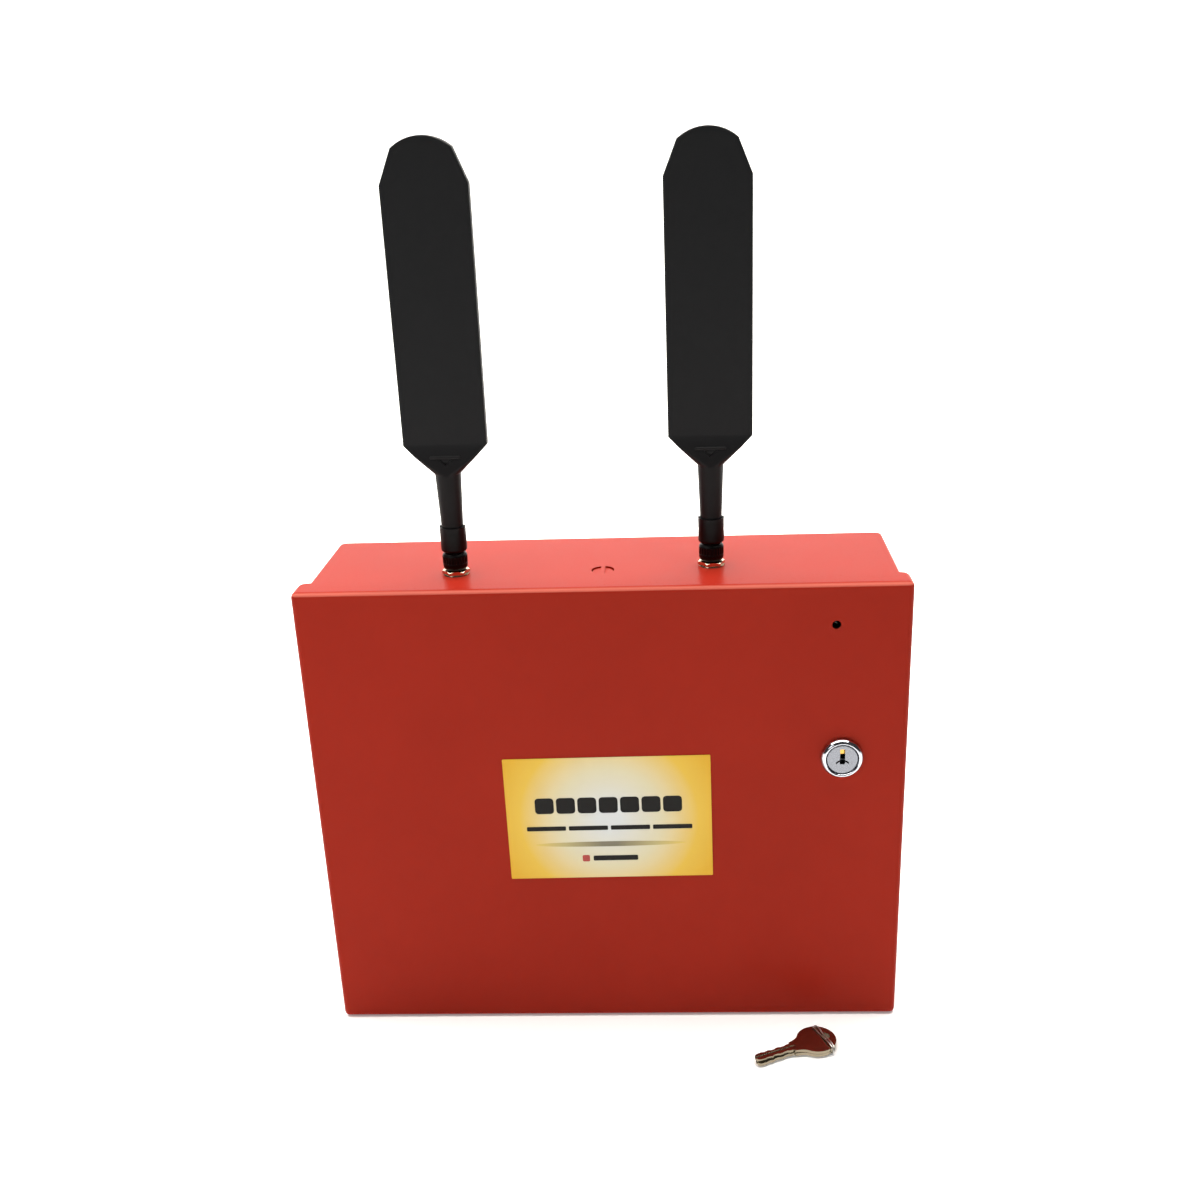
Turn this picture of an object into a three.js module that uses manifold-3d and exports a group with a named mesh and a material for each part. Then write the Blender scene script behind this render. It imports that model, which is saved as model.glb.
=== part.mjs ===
// Wall cabinet of a fire alarm communicator panel: a red sheet-steel box with a hinged, key-locked
// door, two blade antennas on its roof, and the board, transformer and standby battery it holds.
// Millimetres, +X right, +Y towards the wall, +Z up. The origin is the centre of the cabinet's base.

import * as THREE from "three";
import { mergeVertices } from "three/addons/utils/BufferGeometryUtils.js";
import Module from "manifold-3d";

const wasm = await Module();
wasm.setup();

// ---- Driving dimensions ------------------------------------------------------------------------

const SHEET = 1.2; // thickness of the cabinet steel
const CABINET = { width: 280, height: 232, depth: 89 }; // depth runs from the door face to the wall
const DOOR = { width: 286, bottom: 0.4, top: 235, flange: 15 };
const FRONT = -CABINET.depth / 2; // outer face of the door
const BACK = CABINET.depth / 2; // outer face of the back wall
const RIM = FRONT + 2.5; // front face of the cabinet's inturned lips
const LIP = 10; // width of those lips
const SILL = { y: FRONT + DOOR.flange + 1.2, rise: 3 }; // step that lets the door's lower flange in
const SIDE = CABINET.width / 2;
const INNER_BACK = BACK - SHEET;
const INNER_SIDE = SIDE - SHEET;

const ANTENNA = { left: [-71, -10], right: [51.9, -4] }; // where the antennas stand on the roof
const KNOCKOUT = { antenna: 5.4, conduit: 11.1, slit: 0.5, tie: 1.9, roofX: -0.3, roofY: -9 };
const KEYHOLE = { x: 125, low: 18, high: 206, head: 4.25, slot: 2.25, rise: 9 };

const HINGE = { x: -SIDE - 2.4, y: FRONT + DOOR.flange + 2.6, barrel: 2.2, hole: 1.15, pin: 1.0 };
const HINGE_LEAF = { length: 36, knuckle: 11, reach: 15, thick: 1, relief: 2.7 };
const HINGE_LEVELS = { upper: 188, lower: 48 }; // height of the middle of each hinge

const LOCK = { x: 112.1, z: 147.6, bezel: 10.2, body: 8, flats: 6.4, length: 15.5 };
const PLUG = { head: 7.2, barrel: 5.5, tail: 2.8, bore: 5.8 };
const CAM = { y: FRONT + 15.9, thick: 2, reach: 22, hub: 7, end: 5 };
const STATUS_HOLE = { x: 108, z: 215, radius: 2.1 };
const LABEL = { width: 100, height: 66, z: 116.5, thick: 0.3 };

const BOARD = { left: -110, right: 70, bottom: 106, top: 220, front: 31.7, thick: 1.6, inset: 5 };
const TERMINALS = {
  left: -98, right: -8, ways: 12, pitch: 5.08, front: 21.4, low: 109, high: 120, entry: 27.9,
};
const BATTERY = { left: -62, width: 151, front: -25, depth: 65, height: 94, floor: 1.5 };
const TRANSFORMER = { x: -91, z: 50, width: 46, height: 38, front: 19, depth: 17.5 };
const WIRE = 1.1; // radius of the insulated hook-up wire
const COAX = 1.25; // radius of the coaxial pigtails
const CLEAR = 0.1; // air gap between neighbouring pieces of one assembly

// ---- Materials ---------------------------------------------------------------------------------

const finish = (color, roughness, metalness) =>
  new THREE.MeshStandardMaterial({ color, roughness, metalness });

const redPaint = finish(0xb5281f, 0.38, 0.1);
const zincSteel = finish(0xb9bcc0, 0.35, 0.9);
const chrome = finish(0xd9dce0, 0.12, 1);
const brass = finish(0xc8a24a, 0.3, 1);
const blackPlastic = finish(0x17181a, 0.5, 0);
const whiteNylon = finish(0xe4e2da, 0.55, 0);
const greenBoard = finish(0x1f6b3a, 0.45, 0);
const greenPlastic = finish(0x3f9a55, 0.5, 0);
const greyPlastic = finish(0x5b5f66, 0.5, 0);
const bluePlastic = finish(0x24477f, 0.45, 0);
const labelPaper = finish(0xe8c75a, 0.5, 0);
const darkLamination = finish(0x3a3a3d, 0.6, 0.6);
const windingTape = finish(0xd9b23c, 0.5, 0);
const redWire = finish(0xa81c1c, 0.5, 0);
const blackWire = finish(0x1b1b1c, 0.5, 0);
const nickelSilver = finish(0xb8b2a4, 0.3, 1);

// ---- Geometry helpers --------------------------------------------------------------------------

// A geometry as a manifold-3d solid, for cutting and joining.
function solid(geometry) {
  const bare = geometry.clone();
  bare.deleteAttribute("normal");
  bare.deleteAttribute("uv");
  const merged = mergeVertices(bare, 1e-4);
  const mesh = new wasm.Mesh({
    numProp: 3,
    vertProperties: merged.attributes.position.array,
    triVerts: new Uint32Array(merged.index.array),
  });
  return new wasm.Manifold(mesh);
}

// A manifold-3d solid as a geometry again.
function shell(manifold) {
  const mesh = manifold.getMesh();
  const geometry = new THREE.BufferGeometry();
  geometry.setAttribute("position", new THREE.BufferAttribute(mesh.vertProperties, 3));
  geometry.setIndex(new THREE.BufferAttribute(mesh.triVerts, 1));
  return geometry;
}

// The first geometry with the others joined on.
const join = (first, ...others) =>
  shell(others.reduce((made, next) => made.add(solid(next)), solid(first)));

// The first geometry with the others cut away.
const cut = (first, ...others) =>
  shell(others.reduce((made, next) => made.subtract(solid(next)), solid(first)));

const overlap = (first, second) => shell(solid(first).intersect(solid(second)));

// A box given by its two opposite corners.
function block(low, high) {
  const size = high.map((value, i) => value - low[i]);
  const middle = high.map((value, i) => (value + low[i]) / 2);
  return new THREE.BoxGeometry(...size).translate(...middle);
}

// A round bar along X, Y or Z, given by where it starts and ends on that axis.
function bar(axis, radius, start, end, centre = [0, 0, 0], sides = 24) {
  const geometry = new THREE.CylinderGeometry(radius, radius, end - start, sides);
  if (axis === "x") geometry.rotateZ(-Math.PI / 2);
  if (axis === "z") geometry.rotateX(Math.PI / 2);
  const middle = [...centre];
  middle["xyz".indexOf(axis)] += (start + end) / 2;
  return geometry.translate(...middle);
}

// A flat outline in X and Z, extruded along Y from one depth to another.
function slabXZ(outline, yStart, yEnd, curveSegments = 8) {
  const options = { depth: yEnd - yStart, bevelEnabled: false, curveSegments };
  const geometry = new THREE.ExtrudeGeometry(outline, options);
  return geometry.rotateX(Math.PI / 2).translate(0, yEnd, 0);
}

// A flat outline in X and Y, extruded upwards.
function slabXY(outline, zStart, zEnd, curveSegments = 8) {
  const options = { depth: zEnd - zStart, bevelEnabled: false, curveSegments };
  return new THREE.ExtrudeGeometry(outline, options).translate(0, 0, zStart);
}

// A turned piece on the Y or Z axis. The profile lists [radius, distance along the axis] pairs.
function turned(axis, profile, sides = 24) {
  const points = profile.map(([radius, along]) => new THREE.Vector2(radius, along));
  const geometry = new THREE.LatheGeometry(points, sides);
  return axis === "z" ? geometry.rotateX(Math.PI / 2) : geometry;
}

// A cable of round section that follows a smooth curve through the given points.
function cable(points, radius, steps, sides = 7) {
  const corners = points.map((p) => new THREE.Vector3(...p));
  const curve = new THREE.CatmullRomCurve3(corners, false, "centripetal");
  const section = new THREE.Shape();
  for (let i = 0; i < sides; i++) {
    const angle = (2 * Math.PI * i) / sides;
    const corner = [radius * Math.cos(angle), radius * Math.sin(angle)];
    if (i === 0) section.moveTo(...corner);
    else section.lineTo(...corner);
  }
  return new THREE.ExtrudeGeometry(section, { steps, extrudePath: curve, bevelEnabled: false });
}

function piece(name, geometry, material) {
  const mesh = new THREE.Mesh(geometry, material);
  mesh.name = name;
  return mesh;
}

function assembly(...members) {
  const group = new THREE.Group();
  group.add(...members);
  return group;
}

// ---- Cabinet -----------------------------------------------------------------------------------

// The two slits that part a knockout disc from its sheet, leaving a tie at each end.
function knockoutSlits(radius) {
  const inner = radius - KNOCKOUT.slit;
  const tie = KNOCKOUT.tie / radius / 2;
  const through = 3 * SHEET;
  return [0, Math.PI].map((turn) => {
    const slit = new THREE.Shape();
    slit.absarc(0, 0, radius, turn - Math.PI / 2 + tie, turn + Math.PI / 2 - tie, false);
    slit.absarc(0, 0, inner, turn + Math.PI / 2 - tie, turn - Math.PI / 2 + tie, true);
    return slabXY(slit, -through / 2, through / 2, 7);
  });
}

function keyhole(x, z) {
  const [near, far] = [INNER_BACK - 1, BACK + 1];
  const head = bar("y", KEYHOLE.head, near, far, [x, 0, z]);
  const slot = block([x - KEYHOLE.slot, near, z], [x + KEYHOLE.slot, far, z + KEYHOLE.rise]);
  const end = bar("y", KEYHOLE.slot, near, far, [x, 0, z + KEYHOLE.rise], 16);
  return join(head, slot, end);
}

function backBox() {
  const outside = block([-SIDE, RIM, 0], [SIDE, BACK, CABINET.height]);
  const cavity = block(
    [-INNER_SIDE, RIM + SHEET, SHEET],
    [INNER_SIDE, INNER_BACK, CABINET.height - SHEET],
  );
  const mouth = block(
    [-SIDE + LIP, RIM - 1, SILL.rise + LIP],
    [SIDE - LIP, RIM + 2 * SHEET, CABINET.height - LIP],
  );
  const step = block([-SIDE - 1, RIM - 1, -1], [SIDE + 1, SILL.y, SILL.rise]);
  const tray = cut(outside, cavity, mouth, step);

  const shelf = block([-SIDE, RIM, SILL.rise], [SIDE, SILL.y + SHEET, SILL.rise + SHEET]);
  const riser = block([-SIDE, SILL.y, 0], [SIDE, SILL.y + SHEET, SILL.rise + SHEET]);

  const roof = CABINET.height - SHEET / 2;
  const wall = SIDE - SHEET / 2;
  const roofSlits = knockoutSlits(KNOCKOUT.antenna).map((s) =>
    s.translate(KNOCKOUT.roofX, KNOCKOUT.roofY, roof),
  );
  const floorSlits = [-100, 108].flatMap((x) =>
    knockoutSlits(KNOCKOUT.conduit).map((s) => s.translate(x, 10, SHEET / 2)),
  );
  const sideSlits = [-wall, wall].flatMap((x) =>
    knockoutSlits(KNOCKOUT.conduit).map((s) => s.rotateY(Math.PI / 2).translate(x, 12, 100)),
  );
  const antennaHoles = [ANTENNA.left, ANTENNA.right].map(([x, y]) =>
    bar("z", 3.4, CABINET.height - 3, CABINET.height + 1, [x, y, 0], 20),
  );
  const keyholes = [-1, 1].flatMap((side) =>
    [KEYHOLE.low, KEYHOLE.high].map((z) => keyhole(side * KEYHOLE.x, z)),
  );
  return cut(
    join(tray, shelf, riser),
    ...roofSlits,
    ...floorSlits,
    ...sideSlits,
    ...antennaHoles,
    ...keyholes,
  );
}

// An angle inside the right wall that the lock's cam turns behind.
function lockStrike() {
  const [low, high] = [LOCK.z - 17, LOCK.z + 17];
  const face = CAM.y - 0.6 - SHEET;
  const catchPlate = block([LOCK.x + 11.5, face, low], [INNER_SIDE - CLEAR, face + SHEET, high]);
  const foot = block(
    [INNER_SIDE - CLEAR - SHEET, face, low],
    [INNER_SIDE - CLEAR, face + 14, high],
  );
  return join(catchPlate, foot);
}

// ---- Hinges ------------------------------------------------------------------------------------

// A hinge leaf around its own axis. direction is 1 for the leaf on the cabinet, which runs back
// from the barrel, and -1 for the leaf on the door, which runs forwards.
function hingeLeaf(direction, knuckles) {
  const half = HINGE_LEAF.length / 2;
  const onCabinet = -SIDE - HINGE.x - CLEAR - HINGE_LEAF.thick;
  const onDoor = -DOOR.width / 2 + SHEET - HINGE.x + CLEAR;
  const start = direction > 0 ? onCabinet : onDoor;
  const end = start + HINGE_LEAF.thick;
  const span = (a, b) => (direction > 0 ? [a, b] : [-b, -a]);
  const [near, far] = span(HINGE_LEAF.relief, HINGE_LEAF.reach);
  const [rootNear, rootFar] = span(0, HINGE_LEAF.relief + 1);
  const plate = block([start, near, -half], [end, far, half]);
  const joined = knuckles.flatMap(([low, high]) => [
    bar("z", HINGE.barrel, low, high, [0, 0, 0], 16),
    block([start, rootNear, low], [end, rootFar, high]),
  ]);
  const bore = bar("z", HINGE.hole, -half - 1, half + 1, [0, 0, 0], 16);
  return cut(join(plate, ...joined), bore);
}

function hinge(level) {
  const half = HINGE_LEAF.length / 2;
  const inner = half - HINGE_LEAF.knuckle;
  const gap = 0.3;
  const pin = join(
    bar("z", HINGE.pin, -half - 0.5, half + 0.5, [0, 0, 0], 16),
    bar("z", 1.9, half + 0.2, half + 1.4, [0, 0, 0], 16),
  );
  const cabinetKnuckles = [[-half, -inner - gap], [inner + gap, half]];
  const group = assembly(
    piece(`hinge_leaf_cabinet_${level}`, hingeLeaf(1, cabinetKnuckles), redPaint),
    piece(`hinge_leaf_door_${level}`, hingeLeaf(-1, [[-inner, inner]]), redPaint),
    piece(`hinge_pin_${level}`, pin, zincSteel),
  );
  group.position.set(HINGE.x, HINGE.y, HINGE_LEVELS[level]);
  return group;
}

// ---- Door and lock -----------------------------------------------------------------------------

// The lock body's section: a circle with two flats, which keeps it from turning in the door.
function doubleD(radius, flat, yStart, yEnd) {
  const round = bar("y", radius, yStart, yEnd, [0, 0, 0], 32);
  const between = block([-flat, yStart - 1, -radius - 1], [flat, yEnd + 1, radius + 1]);
  return overlap(round, between);
}

function doorPanel() {
  const side = DOOR.width / 2;
  const outside = block([-side, FRONT, DOOR.bottom], [side, FRONT + DOOR.flange, DOOR.top]);
  const inside = block(
    [-side + SHEET, FRONT + SHEET, DOOR.bottom + SHEET],
    [side - SHEET, FRONT + DOOR.flange + 1, DOOR.top - SHEET],
  );
  const lockHole = doubleD(LOCK.body + 0.2, LOCK.flats + 0.2, FRONT - 1, FRONT + 3);
  const statusHole = bar("y", STATUS_HOLE.radius, FRONT - 1, FRONT + 3, [0, 0, 0], 20);
  return cut(
    outside,
    inside,
    lockHole.translate(LOCK.x, 0, LOCK.z),
    statusHole.translate(STATUS_HOLE.x, 0, STATUS_HOLE.z),
  );
}

function frontLabel() {
  const face = FRONT - 0.05;
  return block(
    [-LABEL.width / 2, face - LABEL.thick, LABEL.z - LABEL.height / 2],
    [LABEL.width / 2, face, LABEL.z + LABEL.height / 2],
  );
}

// Everything on the lock is drawn around the lock's own axis, with Y measured from the door face.
function lockBody() {
  const { bezel, body, flats, length } = LOCK;
  const bezelProfile = [
    [PLUG.bore, -0.1], [bezel, -0.1], [bezel, -1.2], [bezel - 0.6, -2.4], [bezel - 1.6, -3.3],
    [PLUG.head + 0.5, -3], [PLUG.head + 0.4, -1.4], [PLUG.bore, -1.4], [PLUG.bore, -0.1],
  ].reverse();
  const barrel = doubleD(body, flats, -0.4, length);
  const bore = bar("y", PLUG.bore, -2, length + 1, [0, 0, 0], 32);
  return join(cut(barrel, bore), turned("y", bezelProfile, 24));
}

function lockNut() {
  const hexagon = new THREE.CylinderGeometry(12, 12, 3, 6).translate(0, SHEET + 1.7, 0);
  const hole = bar("y", LOCK.body + 0.3, 0, 6, [0, 0, 0], 32);
  return cut(hexagon, hole);
}

function lockPlug() {
  const { head, barrel, tail } = PLUG;
  const camDepth = CAM.y - FRONT;
  const cylinder = bar("y", barrel, -1.6, camDepth - 0.2, [0, 0, 0], 32);
  const face = bar("y", head, -2.7, -1.5, [0, 0, 0], 32);
  const square = block([-tail, camDepth - 0.4, -tail], [tail, camDepth + CAM.thick + 0.2, tail]);
  const keyway = block([-1.15, -4, -2.6], [1.15, 11, 4.6]);
  const ward = block([-2.6, -4, -2.6], [2.6, 11, -1.4]);
  const screwHole = bar("y", 2.1, 11.6, 30, [0, 0, 0], 16);
  return cut(join(cylinder, face, square), keyway, ward, screwHole);
}

function lockCam() {
  const camDepth = CAM.y - FRONT;
  const { hub, end, reach } = CAM;
  const outline = new THREE.Shape();
  outline.moveTo(hub, 0);
  outline.lineTo(end, reach - 2);
  outline.lineTo(end - 2, reach);
  outline.lineTo(-end + 2, reach);
  outline.lineTo(-end, reach - 2);
  outline.lineTo(-hub, 0);
  outline.absarc(0, 0, hub, Math.PI, 2 * Math.PI, false);
  const plate = slabXZ(outline, camDepth, camDepth + CAM.thick, 12);
  const hole = PLUG.tail + 0.2;
  return cut(plate, block([-hole, camDepth - 1, -hole], [hole, camDepth + CAM.thick + 1, hole]));
}

function camScrew() {
  const end = CAM.y - FRONT + CAM.thick + 0.3;
  const head = bar("y", 4.2, end, end + 2.2, [0, 0, 0], 20);
  const shank = bar("y", 1.9, 12, end + 0.5, [0, 0, 0], 16);
  const cross = [0.5, 2.6].map((half, i, sizes) =>
    block([-half, end + 1.2, -sizes[1 - i]], [half, end + 3, sizes[1 - i]]),
  );
  return cut(join(head, shank), ...cross);
}

function lock() {
  const group = assembly(
    piece("lock_body", lockBody(), chrome),
    piece("lock_nut", lockNut(), zincSteel),
    piece("lock_plug", lockPlug(), chrome),
    piece("lock_cam", lockCam(), zincSteel),
    piece("cam_screw", camScrew(), zincSteel),
  );
  group.position.set(LOCK.x, FRONT, LOCK.z);
  return group;
}

// ---- Antennas ----------------------------------------------------------------------------------

// Heights above the roof. The blade folds back about a pin in the knuckle.
const AERIAL = {
  nut: 2.2,
  collar: { low: 2.6, high: 10.6, radius: 5.95 },
  knuckle: { low: 10.9, radius: 6.2, crown: 6.2 },
  pin: { height: 18, radius: 1.2 },
  slot: 3.2,
  tongue: 3.4,
  neck: { high: 49.5, radius: 5.95, clear: 6.6 },
  blade: { low: 63.2, shoulder: 177.7, tip: 197.8, half: 19.6, thick: 6, crown: 13.4, rise: 5 },
};

function antennaNut() {
  const hexagon = new THREE.CylinderGeometry(6.65, 6.65, AERIAL.nut, 6);
  hexagon.rotateX(Math.PI / 2).translate(0, 0, AERIAL.nut / 2 + CLEAR);
  return cut(hexagon, bar("z", 3.35, -1, 6, [0, 0, 0], 20));
}

// The roof connector: a threaded barrel through the sheet, a flange inside and a crimp for the cable.
function antennaJack() {
  return join(
    bar("z", 3.1, -6, 8.2, [0, 0, 0], 20),
    bar("z", 5.2, -SHEET - 2.4, -SHEET - CLEAR, [0, 0, 0], 6),
    bar("z", 2.2, -17.5, -5, [0, 0, 0], 16),
  );
}

function antennaCollar() {
  const { low, high, radius } = AERIAL.collar;
  return turned("z", [
    [0, high - 2], [3.4, high - 2], [3.4, low], [radius - 0.5, low], [radius, low + 0.6],
    [radius, high - 0.8], [radius - 0.7, high], [0, high],
  ]);
}

// The fork is rounded about the pin at the top and back, so the blade can fold back a quarter turn.
function antennaKnuckle() {
  const { low, radius, crown } = AERIAL.knuckle;
  const { pin, slot, tongue } = AERIAL;
  const out = radius + 2;
  const post = bar("z", radius, low, pin.height + crown, [0, 0, 0], 28);
  const rounding = bar("x", crown, -out, out, [0, 0, pin.height], 40);
  const foot = block([-out, -out, low], [out, out, pin.height - crown]);
  const front = block([-out, -out, low], [out, 0, pin.height]);
  const floor = pin.height - tongue - 0.4;
  const slotCut = block([-slot, -tongue - 0.5, floor], [slot, out, pin.height + crown + 1]);
  const pinHole = bar("x", pin.radius + 0.15, -out, out, [0, 0, pin.height], 16);
  return cut(overlap(post, join(rounding, foot, front)), slotCut, pinHole);
}

function antennaPin() {
  const { pin, knuckle } = AERIAL;
  return bar("x", pin.radius, -knuckle.radius + 0.6, knuckle.radius - 0.6, [0, 0, pin.height], 16);
}

// The flat radome: a straight-sided paddle with a low arc on top and chamfers down to its neck.
function paddleOutline() {
  const { low, shoulder, tip, half, crown, rise } = AERIAL.blade;
  const { high, radius } = AERIAL.neck;
  const arcRadius = (crown ** 2 + rise ** 2) / (2 * rise);
  const sweep = Math.asin(crown / arcRadius);
  const outline = new THREE.Shape();
  outline.moveTo(radius, high);
  outline.lineTo(half, low);
  outline.lineTo(half, shoulder);
  outline.absarc(0, tip - arcRadius, arcRadius, Math.PI / 2 - sweep, Math.PI / 2 + sweep, false);
  outline.lineTo(-half, shoulder);
  outline.lineTo(-half, low);
  outline.lineTo(-radius, high);
  return outline;
}

function antennaBlade() {
  const { blade, neck, pin, slot, tongue } = AERIAL;
  // The outline's second coordinate is height, so the slab is turned the right way up.
  const flat = new THREE.ExtrudeGeometry(paddleOutline(), {
    depth: blade.thick - 2, bevelEnabled: true, bevelThickness: 1, bevelSize: 1, bevelOffset: -1,
    bevelSegments: 1, curveSegments: 9,
  });
  flat.rotateX(Math.PI / 2).translate(0, (blade.thick - 2) / 2, 0);
  const stem = bar("z", neck.radius, pin.height + 2, blade.low - 4, [0, 0, 0], 28);
  const room = bar("x", neck.clear, -9, 9, [0, 0, pin.height], 40);
  const tab = block(
    [-slot + 0.25, -tongue, pin.height],
    [slot - 0.25, tongue, pin.height + neck.clear + 2],
  );
  const eye = bar("x", tongue, -slot + 0.25, slot - 0.25, [0, 0, pin.height], 24);
  const pinHole = bar("x", pin.radius + 0.15, -9, 9, [0, 0, pin.height], 16);
  return cut(join(cut(join(stem, flat), room), tab, eye), pinHole);
}

function antenna(side) {
  const group = assembly(
    piece(`antenna_jack_${side}`, antennaJack(), brass),
    piece(`antenna_nut_${side}`, antennaNut(), zincSteel),
    piece(`antenna_collar_${side}`, antennaCollar(), blackPlastic),
    piece(`antenna_knuckle_${side}`, antennaKnuckle(), blackPlastic),
    piece(`antenna_pin_${side}`, antennaPin(), zincSteel),
    piece(`antenna_blade_${side}`, antennaBlade(), blackPlastic),
  );
  group.position.set(...ANTENNA[side], CABINET.height);
  return group;
}

// ---- Main board --------------------------------------------------------------------------------

// The middle of one of a terminal block's ways.
const wayX = (side, index) => TERMINALS[side] + (index + 0.5) * TERMINALS.pitch;

const standoffPlaces = [BOARD.left + BOARD.inset, BOARD.right - BOARD.inset].flatMap((x) =>
  [BOARD.bottom + BOARD.inset, BOARD.top - BOARD.inset].map((z) => [x, z]),
);

function mainBoard() {
  const back = BOARD.front + BOARD.thick;
  const sheet = block([BOARD.left, BOARD.front, BOARD.bottom], [BOARD.right, back, BOARD.top]);
  const holes = standoffPlaces.map(([x, z]) =>
    bar("y", 2, BOARD.front - 1, back + 1, [x, 0, z], 16),
  );
  return cut(sheet, ...holes);
}

// A nylon snap-in support: a post behind the board and a barbed tip in front of it.
function standoff([x, z]) {
  const back = BOARD.front + BOARD.thick;
  const tip = BOARD.front - 2;
  return turned("y", [
    [0, tip], [1.2, tip], [2.4, BOARD.front - 0.4], [1.7, BOARD.front - 0.2], [1.7, back + CLEAR],
    [3.5, back + CLEAR], [3.5, INNER_BACK - CLEAR], [0, INNER_BACK - CLEAR],
  ], 16).translate(x, 0, z);
}

// A row of screw terminals on the lower edge of the board: wires enter from below.
function terminalBlock(side) {
  const { ways, pitch, front, low, high, entry } = TERMINALS;
  const left = TERMINALS[side];
  const body = block([left, front, low], [left + ways * pitch, BOARD.front - CLEAR, high]);
  const hollows = Array.from({ length: ways }, (_, i) => wayX(side, i)).flatMap((x) => [
    bar("y", 1.9, front - 1, front + 4, [x, 0, high - 4.5], 10),
    block([x - 1.7, entry - 1.9, low - 1], [x + 1.7, entry + 1.9, low + 5]),
  ]);
  return cut(body, ...hollows);
}

function radioBoard() {
  const [front, left, right, bottom, top] = [24.6, -37, 37, 156, 212];
  const card = block([left, front, bottom], [right, front + 1.2, top]);
  const headers = [bottom + 3, top - 5.5].map((z) =>
    block([-26, front + 1, z], [26, BOARD.front - CLEAR, z + 2.5]),
  );
  const sockets = [-22, 22].map((x) => bar("y", 1.7, front - 1.4, front + 0.5, [x, 0, 205], 12));
  return join(card, ...headers, ...sockets);
}

function radioShield() {
  return cut(
    block([-25, 20.2, 163], [25, 24.4, 198]),
    block([-24.5, 20.7, 163.5], [24.5, 25, 197.5]),
  );
}

function relay() {
  return block([-101, 16.2, 136], [-82, BOARD.front - CLEAR, 151.5]);
}

function boardCapacitor() {
  const [base, top] = [BOARD.front - CLEAR, BOARD.front - 25];
  return turned("y", [
    [0, top], [7.2, top], [8, top + 0.8], [8, base - 3.4], [7.4, base - 2.8], [8, base - 2.2],
    [8, base], [0, base],
  ]).translate(-92, 0, 188);
}

const BUTTON = { x: 54, z: 140, front: 27.9 };

function buttonHousing() {
  const { x, z, front } = BUTTON;
  const body = block([x - 3.1, front, z - 3.1], [x + 3.1, BOARD.front - CLEAR, z + 3.1]);
  return cut(body, bar("y", 2, front - 1, front + 2.4, [x, 0, z], 20));
}

function testButton() {
  const { x, z, front } = BUTTON;
  return bar("y", 1.75, front - 2.2, front + 1.6, [x, 0, z], 20);
}

// ---- Power -------------------------------------------------------------------------------------

const batteryRight = BATTERY.left + BATTERY.width;
const batteryTop = BATTERY.floor + BATTERY.height;
const batteryPoles = { negative: BATTERY.left + 9, positive: batteryRight - 9 };
const POLE_Y = BATTERY.front + 11;

function batteryCase() {
  const { left, front, depth, floor } = BATTERY;
  const back = front + depth;
  const tub = block([left, front, floor], [batteryRight, back, batteryTop - 9]);
  const lid = block([left + 0.8, front + 0.8, floor + 1], [batteryRight - 0.8, back - 0.8, batteryTop]);
  const wells = Object.values(batteryPoles).map((x) =>
    block([x - 6, POLE_Y - 5, batteryTop - 2.5], [x + 6, POLE_Y + 5, batteryTop + 1]),
  );
  return cut(join(tub, lid), ...wells);
}

function batteryTerminal(x) {
  const foot = batteryTop - 2.5 + CLEAR;
  const base = block([x - 3.4, POLE_Y - 3, foot], [x + 3.4, POLE_Y + 3, foot + 1]);
  const blade = block([x - 2.4, POLE_Y - 0.4, foot + 0.5], [x + 2.4, POLE_Y + 0.4, foot + 8.5]);
  return join(base, blade);
}

// A battery lead with its push-on receptacle, which grips the terminal's blade.
function batteryLead(x, route) {
  const low = batteryTop + 0.5;
  const sleeve = block([x - 3.4, POLE_Y - 2, low], [x + 3.4, POLE_Y + 2, low + 12]);
  const pocket = block([x - 2.7, POLE_Y - 0.7, low - 1], [x + 2.7, POLE_Y + 0.7, low + 6.4]);
  const wire = cable([[x, POLE_Y, low + 10], ...route], WIRE, 22);
  return cut(join(sleeve, wire), pocket);
}

// A low fence in front of the battery, with a foot beside it at each end.
function batteryRetainer() {
  const front = BATTERY.front - 1.8;
  const low = SHEET + CLEAR;
  const foot = 12;
  const [left, right] = [BATTERY.left - 0.5 - foot, batteryRight + 0.5 + foot];
  const fence = block([left, front, low], [right, front + SHEET, 20]);
  const feet = [left, right - foot].map((x) =>
    block([x, front, low], [x + foot, front + 18, low + SHEET]),
  );
  const holes = [left, right - foot].map((x) =>
    bar("z", 2.2, low - 1, low + 3, [x + foot / 2, front + 10, 0], 16),
  );
  return cut(join(fence, ...feet), ...holes);
}

function transformerCore() {
  const { x, z, width, height, front, depth } = TRANSFORMER;
  const [halfWide, halfHigh] = [width / 2, height / 2];
  const stack = block([x - halfWide, front, z - halfHigh], [x + halfWide, front + depth, z + halfHigh]);
  const windows = [-1, 1].map((side) => {
    const edges = [x + side * 8, x + side * 15.5].sort((a, b) => a - b);
    return block([edges[0], front - 1, z - 12.5], [edges[1], front + depth + 1, z + 12.5]);
  });
  return cut(stack, ...windows);
}

function transformerWinding() {
  const { x, z, front, depth } = TRANSFORMER;
  const [wide, high, proud] = [15.1, 12.2, 5.6];
  const coil = block([x - wide, front - proud, z - high], [x + wide, front + depth + proud, z + high]);
  const leg = block([x - 8.3, front - 0.3, z - high - 1], [x + 8.3, front + depth + 0.3, z + high + 1]);
  return cut(coil, leg);
}

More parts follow.
